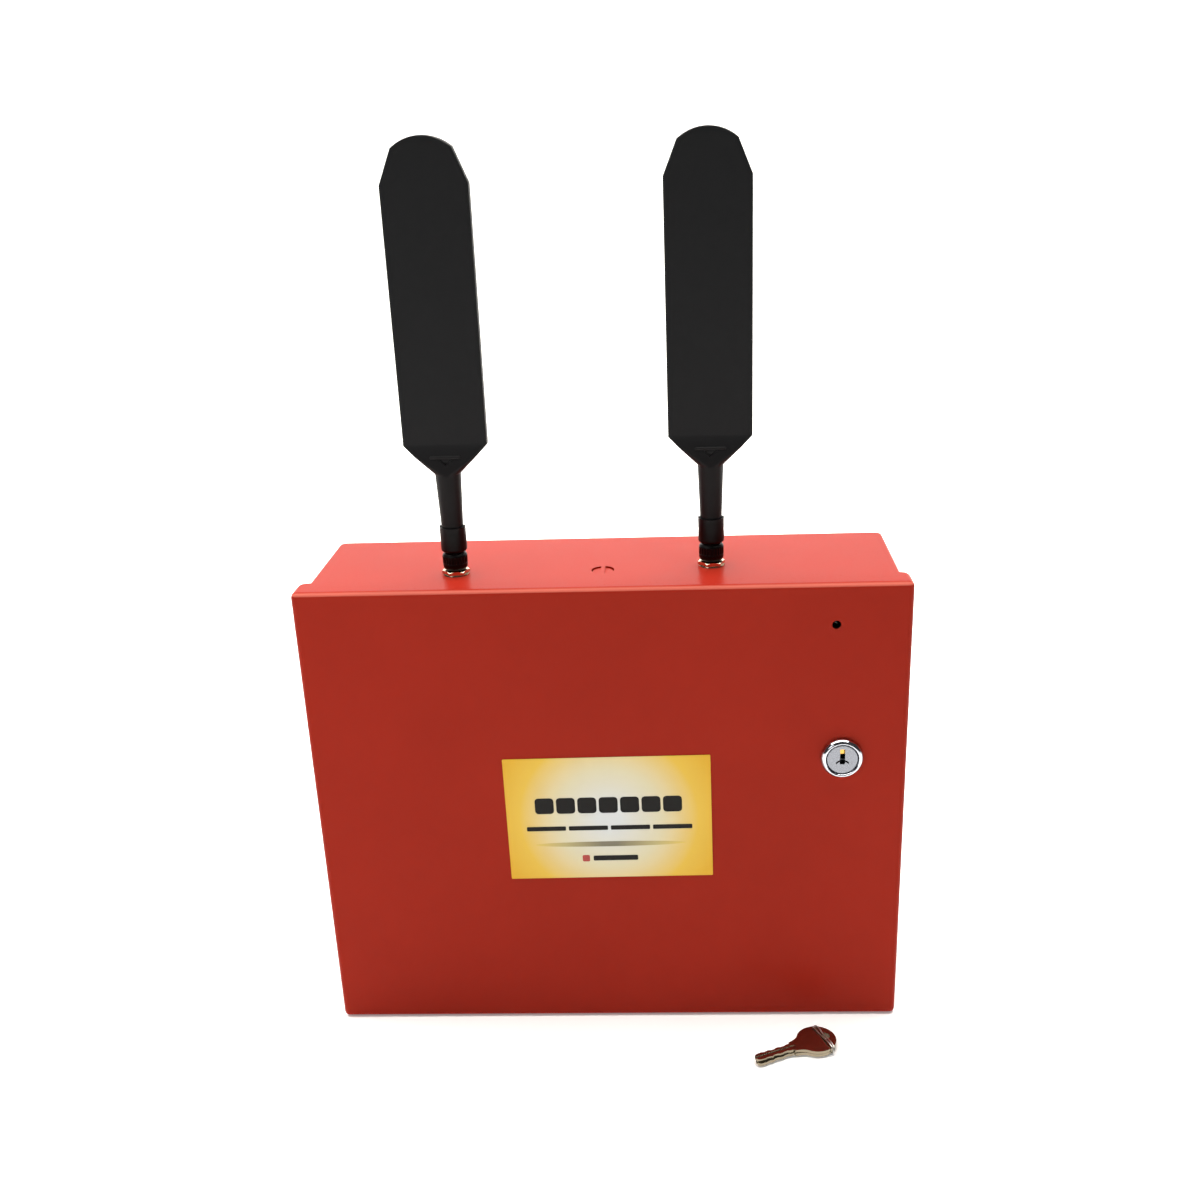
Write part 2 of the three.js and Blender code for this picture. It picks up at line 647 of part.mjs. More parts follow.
// The strap that clamps the core and carries its two mounting ears.
function transformerFrame() {
  const { x, z, width, height, front } = TRANSFORMER;
  const [wide, reach, thick] = [width / 2 - 1, height / 2 + 10, 1];
  const wall = INNER_BACK - CLEAR;
  const plate = block([x - wide, wall - thick, z - reach], [x + wide, wall, z + reach]);
  const legs = [-1, 1].map((side) => {
    const edges = [z + side * (height / 2 + 0.2), z + side * (height / 2 + 1.2)].sort((a, b) => a - b);
    return block([x - wide, front, edges[0]], [x + wide, wall, edges[1]]);
  });
  const holes = [-1, 1].map((side) =>
    bar("y", 2.2, wall - 3, wall + 1, [x, 0, z + side * (reach - 4.5)], 16),
  );
  return cut(join(plate, ...legs), ...holes);
}

// ---- Wiring ------------------------------------------------------------------------------------

// Every lead ends inside the way it is clamped in.
const intoWay = (side, index) => [
  [wayX(side, index), TERMINALS.entry, TERMINALS.low - 4.5],
  [wayX(side, index), TERMINALS.entry, TERMINALS.low + 2],
];

const batteryRoutes = {
  negative: [
    [-53, POLE_Y, 112], [-52, POLE_Y + 5, 117], [-49, 0, 116], [-46, 15, 108], [-45, 24, 103],
    ...intoWay("left", 10),
  ],
  positive: [
    [80, POLE_Y, 112], [78, POLE_Y + 6, 117], [70, 2, 114], [60, 16, 106], [50, 25, 102.5],
    ...intoWay("right", 10),
  ],
};

function transformerLead() {
  return cable([
    [-80, 16, 62.5], [-80, 15.5, 68], [-81, 13, 76], [-84, 16, 90], [-85.2, 24, 99],
    ...intoWay("left", 2),
  ], 1.5, 18);
}

// A coaxial pigtail from an antenna's crimp to its right-angle plug on the radio card.
function coax(side, socketX) {
  const [x, y] = ANTENNA[side];
  const inward = Math.sign(socketX - x);
  const plugY = 22.9;
  const route = [
    [x, y, CABINET.height - 17.6], [x, y, CABINET.height - 22],
    [x + inward * 4, y + 6, CABINET.height - 26], [x + inward * 14, 10, 207],
    [(x + socketX) / 2, 20, 209.5], [socketX - inward * 9, plugY - 1.7, 207],
    [socketX - inward, plugY - 1.7, 205],
  ];
  const plug = bar("y", 2.2, plugY - 3, plugY, [socketX, 0, 205], 12);
  return join(cable(route, COAX, 24), plug);
}

// The lamp behind the door's sight hole, on a bracket that hangs from the roof, and its lead.
function lampBracket() {
  const { x, z } = STATUS_HOLE;
  const [face, roof] = [FRONT + 9.5, CABINET.height - SHEET - CLEAR];
  const tab = block([x - 6, face, z - 6], [x + 6, face + SHEET, roof]);
  const foot = block([x - 6, face, roof - SHEET], [x + 6, face + 14, roof]);
  return cut(join(tab, foot), bar("y", 2.7, face - 1, face + 3, [x, 0, z], 20));
}

function statusLamp() {
  const { x, z } = STATUS_HOLE;
  const nose = FRONT + 3.2;
  return turned("y", [
    [0, nose], [0.9, nose + 0.2], [1.7, nose + 0.9], [2.4, nose + 2.4], [2.4, nose + 5.4],
    [3, nose + 5.5], [3, nose + 6.2], [2.5, nose + 6.3], [2.5, nose + 9], [0, nose + 9],
  ], 20).translate(x, 0, z);
}

function lampLead() {
  const { x, z } = STATUS_HOLE;
  return cable([
    [x, FRONT + 12.6, z], [x + 1, FRONT + 17, z], [x + 6, FRONT + 24, 219], [x + 5, -4, 224],
    [x - 6, 14, 224], [x - 22, 26, 219], [x - 36, 29.6, 211], [63, 29.6, 203],
  ], WIRE, 26);
}

// ---- Keys --------------------------------------------------------------------------------------

const KEY = { bow: 10, hole: 2.2, thick: 1.5, blade: 2.6, neck: 3.6, length: 44.4 };
const KEY_TURN = Math.PI + 0.43; // the way the keys point on the floor

// A flat key along +X from the middle of its bow, with cuts on both edges of its blade.
function keyOutline() {
  const { bow, blade, neck } = KEY;
  const tip = KEY.length - bow;
  const open = 0.6;
  const outline = new THREE.Shape();
  outline.absarc(0, 0, bow, open, 2 * Math.PI - open, false);
  outline.quadraticCurveTo(10.6, -neck - 0.3, 14, -neck);
  outline.lineTo(14, -blade);
  const cuts = [17.5, 20.5, 23.5, 26.5];
  cuts.forEach((x, i) => outline.lineTo(x, -blade + (i % 2 ? 0 : 0.6)));
  outline.lineTo(tip - 2.2, -blade);
  outline.lineTo(tip, 0);
  outline.lineTo(tip - 2.2, blade);
  [...cuts].reverse().forEach((x, i) => outline.lineTo(x, blade - (i % 2 ? 0 : 0.6)));
  outline.lineTo(14, blade);
  outline.lineTo(14, neck);
  outline.quadraticCurveTo(10.6, neck + 0.3, bow * Math.cos(open), bow * Math.sin(open));
  return outline;
}

function key(low, turn) {
  const hole = bar("z", KEY.hole, low - 1, low + KEY.thick + 1, [-5.3, 0, 0], 16);
  return cut(slabXY(keyOutline(), low, low + KEY.thick, 10), hole).rotateZ(turn);
}

// The loose wire that ties the two keys: wound one and a half times across the bows.
function keyTie() {
  const [over, under, out] = [4.95, 0.52, KEY.bow + 0.5];
  return cable([
    [-3, -8.6, over], [-3.2, 0, over], [-3.5, 8.8, over], [-3.6, out, 3], [-3.7, out, 1.6],
    [-3.8, 8.6, under + 0.12], [-4.2, 0, under], [-4.6, -8.4, under + 0.12],
    [-4.7, -out + 0.2, 1.6], [-4.7, -out + 0.2, 3.2],
    [-4.7, -8.4, over], [-4.5, 0, over], [-4.3, 8.6, over],
    [-4.4, out - 0.1, 3.6], [-4.5, out, 2.4],
  ], 0.4, 42, 6);
}

function keys() {
  const group = assembly(
    piece("key_upper", key(2.75, 0), nickelSilver),
    piece("key_lower", key(1.15, 0.035), nickelSilver),
    piece("key_tie", keyTie(), zincSteel),
  );
  group.position.set(100.4, -69.4, 0);
  group.rotation.z = KEY_TURN;
  return group;
}

// ---- Whole panel -------------------------------------------------------------------------------

const panel = new THREE.Group();
panel.add(
  piece("back_box", backBox(), redPaint),
  piece("lock_strike", lockStrike(), redPaint),
  hinge("upper"),
  hinge("lower"),
  piece("door_panel", doorPanel(), redPaint),
  piece("front_label", frontLabel(), labelPaper),
  lock(),
  antenna("left"),
  antenna("right"),
  piece("main_board", mainBoard(), greenBoard),
  ...standoffPlaces.map((at, i) => piece(`board_standoff_${i + 1}`, standoff(at), whiteNylon)),
  piece("radio_board", radioBoard(), bluePlastic),
  piece("radio_shield", radioShield(), zincSteel),
  piece("terminal_block_left", terminalBlock("left"), greenPlastic),
  piece("terminal_block_right", terminalBlock("right"), greenPlastic),
  piece("relay", relay(), bluePlastic),
  piece("board_capacitor", boardCapacitor(), blackPlastic),
  piece("button_housing", buttonHousing(), greyPlastic),
  piece("test_button", testButton(), blackPlastic),
  piece("battery_case", batteryCase(), greyPlastic),
  piece("battery_terminal_negative", batteryTerminal(batteryPoles.negative), zincSteel),
  piece("battery_terminal_positive", batteryTerminal(batteryPoles.positive), zincSteel),
  piece("battery_lead_black", batteryLead(batteryPoles.negative, batteryRoutes.negative), blackWire),
  piece("battery_lead_red", batteryLead(batteryPoles.positive, batteryRoutes.positive), redWire),
  piece("battery_retainer", batteryRetainer(), redPaint),
  piece("transformer_core", transformerCore(), darkLamination),
  piece("transformer_winding", transformerWinding(), windingTape),
  piece("transformer_frame", transformerFrame(), zincSteel),
  piece("transformer_lead", transformerLead(), blackWire),
  piece("coax_left", coax("left", -22), blackWire),
  piece("coax_right", coax("right", 22), blackWire),
  piece("lamp_bracket", lampBracket(), zincSteel),
  piece("status_lamp", statusLamp(), blackPlastic),
  piece("lamp_lead", lampLead(), blackWire),
  keys(),
);

export default panel;
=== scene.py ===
import math

import bmesh
import bpy
from mathutils import Matrix, Vector


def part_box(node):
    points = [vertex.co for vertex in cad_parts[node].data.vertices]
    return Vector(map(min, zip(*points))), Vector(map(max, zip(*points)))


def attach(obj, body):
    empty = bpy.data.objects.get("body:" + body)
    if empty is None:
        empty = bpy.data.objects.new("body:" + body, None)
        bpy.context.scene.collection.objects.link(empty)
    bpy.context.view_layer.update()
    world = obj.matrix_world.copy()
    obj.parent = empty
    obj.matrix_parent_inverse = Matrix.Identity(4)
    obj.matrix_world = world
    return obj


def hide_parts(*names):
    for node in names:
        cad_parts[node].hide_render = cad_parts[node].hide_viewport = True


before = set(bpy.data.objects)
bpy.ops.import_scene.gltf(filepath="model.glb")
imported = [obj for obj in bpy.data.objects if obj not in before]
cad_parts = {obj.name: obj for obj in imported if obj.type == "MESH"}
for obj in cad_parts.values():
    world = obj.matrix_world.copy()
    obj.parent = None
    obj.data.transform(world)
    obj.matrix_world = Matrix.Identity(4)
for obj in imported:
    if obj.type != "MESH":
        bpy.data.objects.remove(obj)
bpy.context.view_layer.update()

# Everything below is worked out in millimetres and turned into metres where a mesh is made.
MM = 0.001


def span(node):
    """Lowest and highest corner of a CAD node, in millimetres."""
    low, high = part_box(node)
    return Vector(low) / MM, Vector(high) / MM


def middle(node):
    low, high = span(node)
    return (low + high) / 2


# ---- Driving places, all read from the frame ----

DOOR_LOW, DOOR_HIGH = span("door_panel")
BOX_LOW, BOX_HIGH = span("back_box")
ROOF = BOX_HIGH.z
FRONT = DOOR_LOW.y
SHEET = 1.2
LOCK = middle("lock_body")
LAMP = middle("status_lamp")
SIDES = ("left", "right")
FACE = span("main_board")[0].y
RADIO_LOW, RADIO_HIGH = span("radio_board")
BLOCK_TOP = span("terminal_block_left")[1].z

# ---- Mesh helpers ----

PLACE = {
    "x": lambda u, v, w: (w, u, v),
    "y": lambda u, v, w: (u, w, v),
    "z": lambda u, v, w: (u, v, w),
}


def add_prism(bm, outline, start, end, axis="y"):
    """Extrudes a flat outline from start to end along an axis."""
    rings = []
    for along in (start, end):
        rings.append([bm.verts.new(Vector(PLACE[axis](u, v, along)) * MM) for u, v in outline])
    add_loft(bm, rings)


def add_loft(bm, rings, closed=False):
    """Joins rings of vertices into a skin, with a cap at each end unless it closes on itself."""
    count = len(rings[0])
    pairs = list(zip(rings, rings[1:]))
    if closed:
        pairs.append((rings[-1], rings[0]))
    else:
        bm.faces.new(rings[0])
        bm.faces.new(list(reversed(rings[-1])))
    for ring, following in pairs:
        for i in range(count):
            j = (i + 1) % count
            bm.faces.new((ring[i], ring[j], following[j], following[i]))


def add_box(bm, low, high):
    outline = [(low[0], low[2]), (high[0], low[2]), (high[0], high[2]), (low[0], high[2])]
    add_prism(bm, outline, low[1], high[1])


def add_turned(bm, profile, centre, axis="z", steps=64, closed=False):
    """Turns a profile of [radius, distance along the axis] pairs around an axis."""
    rings = []
    for radius, along in profile:
        ring = []
        for i in range(steps):
            angle = 2 * math.pi * i / steps
            u, v = radius * math.cos(angle), radius * math.sin(angle)
            ring.append(bm.verts.new((Vector(PLACE[axis](u, v, along)) + Vector(centre)) * MM))
        rings.append(ring)
    add_loft(bm, rings, closed)


def arc(centre, radius, start, end, steps):
    """Points on an arc, from one angle to another in degrees."""
    points = []
    for i in range(steps + 1):
        angle = math.radians(start + (end - start) * i / steps)
        points.append((centre[0] + radius * math.cos(angle), centre[1] + radius * math.sin(angle)))
    return points


def rounded(low, high, radius, steps=6):
    """A rectangle with rounded corners, from two opposite corners."""
    left, bottom = low[0] + radius, low[1] + radius
    right, top = high[0] - radius, high[1] - radius
    corners = ((right, top, 0), (left, top, 90), (left, bottom, 180), (right, bottom, 270))
    points = []
    for x, y, start in corners:
        points += arc((x, y), radius, start, start + 90, steps)
    return points


def add_object(name, data):
    obj = bpy.data.objects.new(name, data)
    bpy.context.scene.collection.objects.link(obj)
    return obj


def finish_mesh(name, bm):
    """Turns the faces of a filled bmesh outwards and makes an object of it."""
    bmesh.ops.recalc_face_normals(bm, faces=bm.faces)
    mesh = bpy.data.meshes.new(name)
    bm.to_mesh(mesh)
    bm.free()
    return add_object(name, mesh)


def make(name, build):
    """A new object whose mesh is filled by the given function."""
    bm = bmesh.new()
    build(bm)
    return finish_mesh(name, bm)


def box(name, low, high):
    return make(name, lambda bm: add_box(bm, low, high))


def box_about(name, at, low, high):
    """A box whose two corners are given from a point."""
    return box(name, [a + b for a, b in zip(at, low)], [a + b for a, b in zip(at, high)])


def prism(name, outline, start, end, axis="y"):
    return make(name, lambda bm: add_prism(bm, outline, start, end, axis))


def turned(name, profile, centre, axis="z", steps=64, closed=False):
    return make(name, lambda bm: add_turned(bm, profile, centre, axis, steps, closed))


def disc(name, radius, start, end, centre, axis="y", steps=48):
    return turned(name, [(radius, start), (radius, end)], centre, axis, steps)


def apply_modifiers(obj):
    depsgraph = bpy.context.evaluated_depsgraph_get()
    shaped = bpy.data.meshes.new_from_object(obj.evaluated_get(depsgraph))
    obj.modifiers.clear()
    obj.data = shaped


def combine(obj, tools, operation):
    for tool in tools:
        modifier = obj.modifiers.new(operation.lower(), "BOOLEAN")
        modifier.object = tool
        modifier.operation = operation
        modifier.solver = "EXACT"
    apply_modifiers(obj)
    for tool in tools:
        bpy.data.objects.remove(tool)
    return obj


def cut(obj, *tools):
    return combine(obj, tools, "DIFFERENCE")


def join(obj, *tools):
    return combine(obj, tools, "UNION")


def common(obj, tool):
    return combine(obj, [tool], "INTERSECT")


def soften(obj, width, segments=2, angle=35):
    """Rounds every edge sharper than an angle."""
    modifier = obj.modifiers.new("edge", "BEVEL")
    modifier.width = width * MM
    modifier.segments = segments
    modifier.limit_method = "ANGLE"
    modifier.angle_limit = math.radians(angle)
    return obj


def shade(obj, angle=38):
    """Smooth shading that keeps flat faces flat."""
    apply_modifiers(obj)
    obj.data.shade_smooth()
    obj.data.set_sharp_from_angle(angle=math.radians(angle))
    obj.modifiers.new("normals", "WEIGHTED_NORMAL").keep_sharp = True
    return obj


def piece(obj, body, slot, material, *replaced):
    """Gives a new piece its body, its finish and the CAD nodes it stands for."""
    obj.data.materials.clear()
    obj.data.materials.append(material)
    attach(obj, body)
    if replaced:
        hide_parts(*replaced)
    return obj


def dress(node, material, width=0.15):
    """Keeps a CAD node, softens its edges and gives it a better material."""
    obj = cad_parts[node]
    for slot in obj.material_slots:
        slot.material = material
    weld = obj.modifiers.new("weld", "WELD")
    weld.merge_threshold = 0.002 * MM
    if width:
        soften(obj, width, 2, 40)
    obj.modifiers.new("normals", "WEIGHTED_NORMAL")
    return obj


def wire(name, points, radius, resolution=6):
    """A smooth round wire through the given points."""
    curve = bpy.data.curves.new(name, "CURVE")
    curve.dimensions = "3D"
    curve.bevel_depth = radius * MM
    curve.bevel_resolution = 3
    curve.use_fill_caps = True
    spline = curve.splines.new("BEZIER")
    spline.resolution_u = resolution
    spline.bezier_points.add(len(points) - 1)
    for point, place in zip(spline.bezier_points, points):
        point.co = Vector(place) * MM
        point.handle_left_type = point.handle_right_type = "AUTO"
    return add_object(name, curve)


# ---- Materials ----


def linear(red, green, blue):
    """A colour given in 0 to 255 display values, as the linear values a shader takes."""
    def one(value):
        value /= 255
        return value / 12.92 if value <= 0.04045 else ((value + 0.055) / 1.055) ** 2.4
    return one(red), one(green), one(blue), 1.0


def scaled(colour, factor):
    return tuple(min(1.0, value * factor) for value in colour[:3]) + (1.0,)


class Nodes:
    """A material with a Principled shader, and short calls to add nodes to it."""

    def __init__(self, name, metallic=0.0, coat=0.0, coat_roughness=0.1, specular=0.5, tint=(1, 1, 1),
                 transmission=0.0, glow=0.0):
        self.material = bpy.data.materials.new(name)
        self.material.use_nodes = True
        self.tree = self.material.node_tree
        self.shader = self.tree.nodes["Principled BSDF"]
        self.fill(self.shader, {
            "Metallic": metallic, "Coat Weight": coat, "Coat Roughness": coat_roughness,
            "Specular IOR Level": specular, "Specular Tint": (*tint, 1.0), "Coat Tint": (*tint, 1.0),
            "Transmission Weight": transmission, "Emission Color": (1, 1, 1, 1), "Emission Strength": glow,
        })
        self.place = self.add("ShaderNodeTexCoord").outputs["Object"]

    def fill(self, node, values):
        """Gives a node's sockets a fixed value, or a link where the value is another node's output."""
        for socket, value in values.items():
            if isinstance(value, bpy.types.NodeSocket):
                self.tree.links.new(value, node.inputs[socket])
            else:
                node.inputs[socket].default_value = value

    def add(self, kind, values=None, **settings):
        """A new node, with values for its sockets and settings of its own."""
        node = self.tree.nodes.new(kind)
        for name, value in settings.items():
            setattr(node, name, value)
        self.fill(node, values or {})
        return node

    def along(self, axis, vector=None):
        """One component of a vector, which is the point's own place unless another is given."""
        return self.add("ShaderNodeSeparateXYZ", {"Vector": vector or self.place}).outputs[axis]

    def share(self, value, low, high):
        """How far a value given in metres lies between two places in millimetres, from 0 to 1."""
        limits = {"Value": value, "From Min": low * MM, "From Max": high * MM}
        return self.add("ShaderNodeMapRange", limits).outputs["Result"]

    def between(self, factor, low, high):
        """Turns a 0 to 1 factor into a value between low and high."""
        limits = {"Value": factor, "To Min": low, "To Max": high}
        return self.add("ShaderNodeMapRange", limits).outputs["Result"]

    def noise(self, scale, detail=2.0, stretch=None):
        place = self.place
        if stretch:
            place = self.add("ShaderNodeMapping", {"Vector": place, "Scale": stretch}).outputs["Vector"]
        grain = self.add("ShaderNodeTexNoise", {"Vector": place, "Scale": scale, "Detail": detail})
        return grain.outputs["Fac"]

    def ramp(self, factor, stops):
        """A colour ramp; stops are (position, colour) pairs."""
        node = self.add("ShaderNodeValToRGB", {"Fac": factor})
        elements = node.color_ramp.elements
        while len(elements) < len(stops):
            elements.new(0.5)
        for element, (position, colour) in zip(elements, stops):
            element.position = position
            element.color = colour
        return node.outputs["Color"]

    def bump(self, height, depth):
        node = self.add("ShaderNodeBump", {"Height": height, "Distance": depth * MM, "Strength": 1.0})
        self.fill(self.shader, {"Normal": node.outputs["Normal"]})

    def finish(self, colour, roughness):
        self.fill(self.shader, {"Base Color": colour, "Roughness": roughness})
        return self.material


def surface(name, colour, rough, grain, depth, spread=0.08, patch=25, stretch=None, **shader):
    """A finish with soft colour patches, uneven gloss and a fine grain in relief."""
    nodes = Nodes(name, **shader)
    colour = linear(*colour)
    patches = nodes.noise(patch, 3.0, stretch)
    dark, light = scaled(colour, 1 - spread), scaled(colour, 1 + spread)
    fine = nodes.noise(grain, 2.0, stretch)
    nodes.bump(fine, depth)
    return nodes.finish(nodes.ramp(patches, [(0.3, dark), (0.7, light)]), nodes.between(fine, *rough))


def label_material():
    """Printed film: cream in the middle, running through gold to a deep yellow at its edges."""
    low, high = span("front_label")
    half = (high - low) / 2 * MM
    reach_x, reach_z = 1.12, 1.75
    nodes = Nodes("label_print", coat=0.08, coat_roughness=0.25, specular=0.3)
    centred = nodes.add("ShaderNodeMapping", vector_type="TEXTURE", values={
        "Vector": nodes.place, "Location": middle("front_label") * MM,
        "Scale": (half.x * reach_x, 1.0, half.z * reach_z),
    })
    flat = nodes.add("ShaderNodeVectorMath", {0: centred.outputs["Vector"], 1: (1, 0, 1)},
                     operation="MULTIPLY")
    outward = nodes.add("ShaderNodeVectorMath", {0: flat.outputs["Vector"]}, operation="LENGTH")
    cream, pale = linear(204, 208, 208), linear(208, 200, 166)
    gold, deep = linear(214, 176, 56), linear(208, 160, 16)
    stops = [(0.1, cream), (0.46, pale), (0.78, gold), (1.0, deep)]
    fine = nodes.noise(900, 1.0)
    nodes.bump(fine, 0.01)
    return nodes.finish(nodes.ramp(outward.outputs["Value"], stops), nodes.between(fine, 0.38, 0.5))


def blade_material():
    """Grained black plastic, a little darker on the neck than on the blade."""
    nodes = Nodes("blade_black", specular=0.18)
    neck_end, blade_start = ROOF + 50, ROOF + 64
    neck = nodes.share(nodes.along("Z"), neck_end, blade_start)
    colour = nodes.ramp(neck, [(0.0, linear(8, 6, 8)), (1.0, linear(17, 18, 20))])
    fine = nodes.noise(2200, 2.0)
    nodes.bump(fine, 0.03)
    return nodes.finish(colour, nodes.between(fine, 0.44, 0.58))


def paint_material():
    """Red powder coat with a faint orange-peel texture, and a painted highlight where the sheet bends
    upwards.
    """
    red, bend_highlight_red = linear(147, 36, 24), linear(192, 96, 82)
    nodes = Nodes("red_powder_coat", specular=0.045, coat=0.015, coat_roughness=0.12,
                  tint=(1.0, 0.86, 0.66))
    base = nodes.ramp(nodes.noise(14, 3.0), [(0.3, scaled(red, 0.96)), (0.7, scaled(red, 1.04))])
    facing = nodes.add("ShaderNodeTexCoord").outputs["Normal"]
    flat, bend = (0, 0, 0, 1), (1, 1, 1, 1)
    # Painted highlight: on upward-facing bends the red is mixed towards a paler red, standing in for the
    # light line along the bend.
    painted_bend_highlight = nodes.ramp(nodes.along("Z", facing), [(0.28, flat), (0.46, bend), (0.76, bend), (0.96, flat)])
    mix = nodes.add("ShaderNodeMix", {"Factor": painted_bend_highlight}, data_type="RGBA")
    nodes.fill(mix, {"A": base, "B": bend_highlight_red})
    fine = nodes.noise(1500)
    nodes.bump(fine, 0.03)
    return nodes.finish(mix.outputs["Result"], nodes.between(fine, 0.24, 0.36))


paint = paint_material()
chrome = surface("chrome", (196, 200, 208), (0.05, 0.13), 700, 0.003, 0.03, metallic=1.0)
face_chrome = surface("satin_chrome", (128, 131, 138), (0.2, 0.34), 1800, 0.008, 0.05, metallic=1.0)
zinc = surface("zinc_plate", (196, 199, 204), (0.24, 0.42), 500, 0.01, 0.08, metallic=1.0)
nut_plate = surface("nut_plate", (214, 202, 178), (0.12, 0.26), 500, 0.008, 0.08, metallic=1.0)
brass = surface("brass", (214, 170, 88), (0.2, 0.36), 600, 0.01, 0.08, metallic=1.0)
nickel = surface("key_nickel", (150, 140, 120), (0.16, 0.3), 900, 0.012, 0.08, metallic=1.0)
tie_wire = surface("tie_wire", (190, 190, 188), (0.25, 0.4), 1200, 0.004, 0.08, metallic=1.0)
blade_black = blade_material()
black_gloss = surface("collar_black", (5, 4, 5), (0.3, 0.42), 1600, 0.01, 0.1, specular=0.14)
ink = surface("dark_ink", (16, 15, 14), (0.45, 0.55), 900, 0.005, 0.06, specular=0.15)
red_ink = surface("red_ink", (158, 36, 26), (0.4, 0.5), 900, 0.005, 0.06)
label_film = label_material()

# ---- Camera, lights and floor ----


LENS, SENSOR = 40.29, 36
SHIFT = (-0.0242, 0.0372)
CAMERA_AT = (0.0387, FRONT * MM - 0.5771, 0.435)
CAMERA_TURN = (68.46, 1.81, 1.87)
WARM, WHITE = (1.0, 0.965, 0.91), (1, 1, 1)


def make_camera():
    data = bpy.data.cameras.new("camera")
    data.sensor_width = SENSOR
    data.lens = LENS
    data.shift_x, data.shift_y = SHIFT
    obj = add_object("camera", data)
    obj.location = CAMERA_AT
    obj.rotation_euler = [math.radians(angle) for angle in CAMERA_TURN]
    bpy.context.scene.camera = obj


def area_light(name, place, target, size, power, colour):
    data = bpy.data.lights.new(name, "AREA")
    data.shape = "RECTANGLE"
    data.size, data.size_y = size
    data.energy = power
    data.color = colour
    obj = add_object(name, data)
    obj.location = place
    direction = Vector(target) - Vector(place)
    obj.rotation_euler = direction.to_track_quat("-Z", "Y").to_euler()


def make_floor():
    """A white sweep, in metres: a floor that curves up into a backdrop."""
    bend, depth, height, half, reach, steps = 0.8, 3.0, 4.5, 8.0, 6.0, 16
    profile = [(-reach, 0.0), (depth - bend, 0.0)]
    profile += [(depth - bend + bend * math.sin(a), bend - bend * math.cos(a))
                for a in (math.radians(90 * i / steps) for i in range(1, steps + 1))]
    profile.append((depth, height))
    mesh = bpy.data.meshes.new("floor")
    vertices = [(x, y, z) for x in (-half, half) for y, z in profile]
    count = len(profile)
    faces = [(i, count + i, count + i + 1, i + 1) for i in range(count - 1)]
    mesh.from_pydata(vertices, [], faces)
    mesh.shade_smooth()
    mesh.materials.append(surface("pale_floor", (250, 250, 250), (0.75, 0.85), 40, 0.02, 0.004, 3,
                                  specular=0.1, glow=0.2))
    add_object("floor", mesh)


def make_studio():
    """The floor, one large light above, one on the backdrop, a weak fill and a dim white world."""
    make_floor()
    area_light("overhead", (-0.3, 0.4, 2.3), (-0.3, 0.4, 0), (3.2, 2.0), 167, WARM)
    area_light("backdrop_light", (0.0, 1.5, 2.6), (0, 3.0, 0.7), (3.4, 0.6), 52, WARM)
    area_light("fill_left", (-0.85, -1.0, 0.9), (0, 0, 0.15), (0.6, 0.6), 2.4, WHITE)
    world = bpy.data.worlds.new("world")
    world.use_nodes = True
    background = world.node_tree.nodes["Background"]
    background.inputs["Color"].default_value = (*WHITE, 1)
    background.inputs["Strength"].default_value = 0.06
    bpy.context.scene.world = world
    bpy.context.scene.view_settings.view_transform = "Standard"


make_camera()
make_studio()

# ---- Door ----


def door_pan():
    """The door: a pressed pan with round bends, a lock hole and a lamp sight hole."""
    bend, lock_radius, lock_flat, lamp_radius = 2.6, 8.2, 6.6, 2.1
    bm = bmesh.new()
    low, high = DOOR_LOW * MM, DOOR_HIGH * MM
    front = [bm.verts.new(p) for p in ((low.x, low.y, low.z), (high.x, low.y, low.z),
                                       (high.x, low.y, high.z), (low.x, low.y, high.z))]
    rear = [bm.verts.new((v.co.x, high.y, v.co.z)) for v in front]
    bm.faces.new(front)
    for i in range(4):
        j = (i + 1) % 4
        bm.faces.new((front[j], front[i], rear[i], rear[j]))
    edges = [edge for edge in bm.edges if not all(v in rear for v in edge.verts)]
    bmesh.ops.bevel(bm, geom=edges, offset=bend * MM, segments=6, profile=0.5, affect="EDGES")
    obj = finish_mesh("door_pan", bm)
    thick = obj.modifiers.new("sheet", "SOLIDIFY")
    thick.thickness = SHEET * MM
    thick.offset = -1
    thick.use_even_offset = True
    apply_modifiers(obj)
    lock_hole = prism("hole", double_d(lock_radius, lock_flat), FRONT - 1, FRONT + 3)
    lamp_hole = disc("hole", lamp_radius, FRONT - 1, FRONT + 3, (LAMP.x, 0, LAMP.z), steps=40)
    cut(obj, lock_hole, lamp_hole, *flange_corners())
    soften(obj, 0.22, 2, 50)
    return piece(shade(obj), "door", "red_powder_coat", paint, "door_panel")


def flange_corners():
    """What is trimmed off the rear corners of the door's top and bottom flanges to round them."""
    radius, deep, steps = 6.0, 2.6, 12
    rear = DOOR_HIGH.y
    trims = []
    for edge, inward in ((DOOR_LOW.x, 1), (DOOR_HIGH.x, -1)):
        angles = [math.radians(90 * i / steps) for i in range(steps + 1)]
        outline = [(edge + inward * radius * (1 - math.cos(a)), rear - radius * (1 - math.sin(a)))
                   for a in angles]
        outline += [(edge + inward * radius, rear + 1), (edge - inward, rear + 1),
                    (edge - inward, rear - radius)]
        trims.append(prism("trim", outline, DOOR_HIGH.z - deep, DOOR_HIGH.z + 1, "z"))
        trims.append(prism("trim", outline, DOOR_LOW.z - 1, DOOR_LOW.z + deep, "z"))
    return trims


def double_d(radius, flat):
    """The lock body's section: a circle with two flats."""
    corner = math.degrees(math.acos(flat / radius))
    points = arc((0, 0), radius, corner, 180 - corner, 20)
    points += arc((0, 0), radius, 180 + corner, 360 - corner, 20)
    return [(x + LOCK.x, z + LOCK.z) for x, z in points]


door_pan()

# ---- Cabinet ----


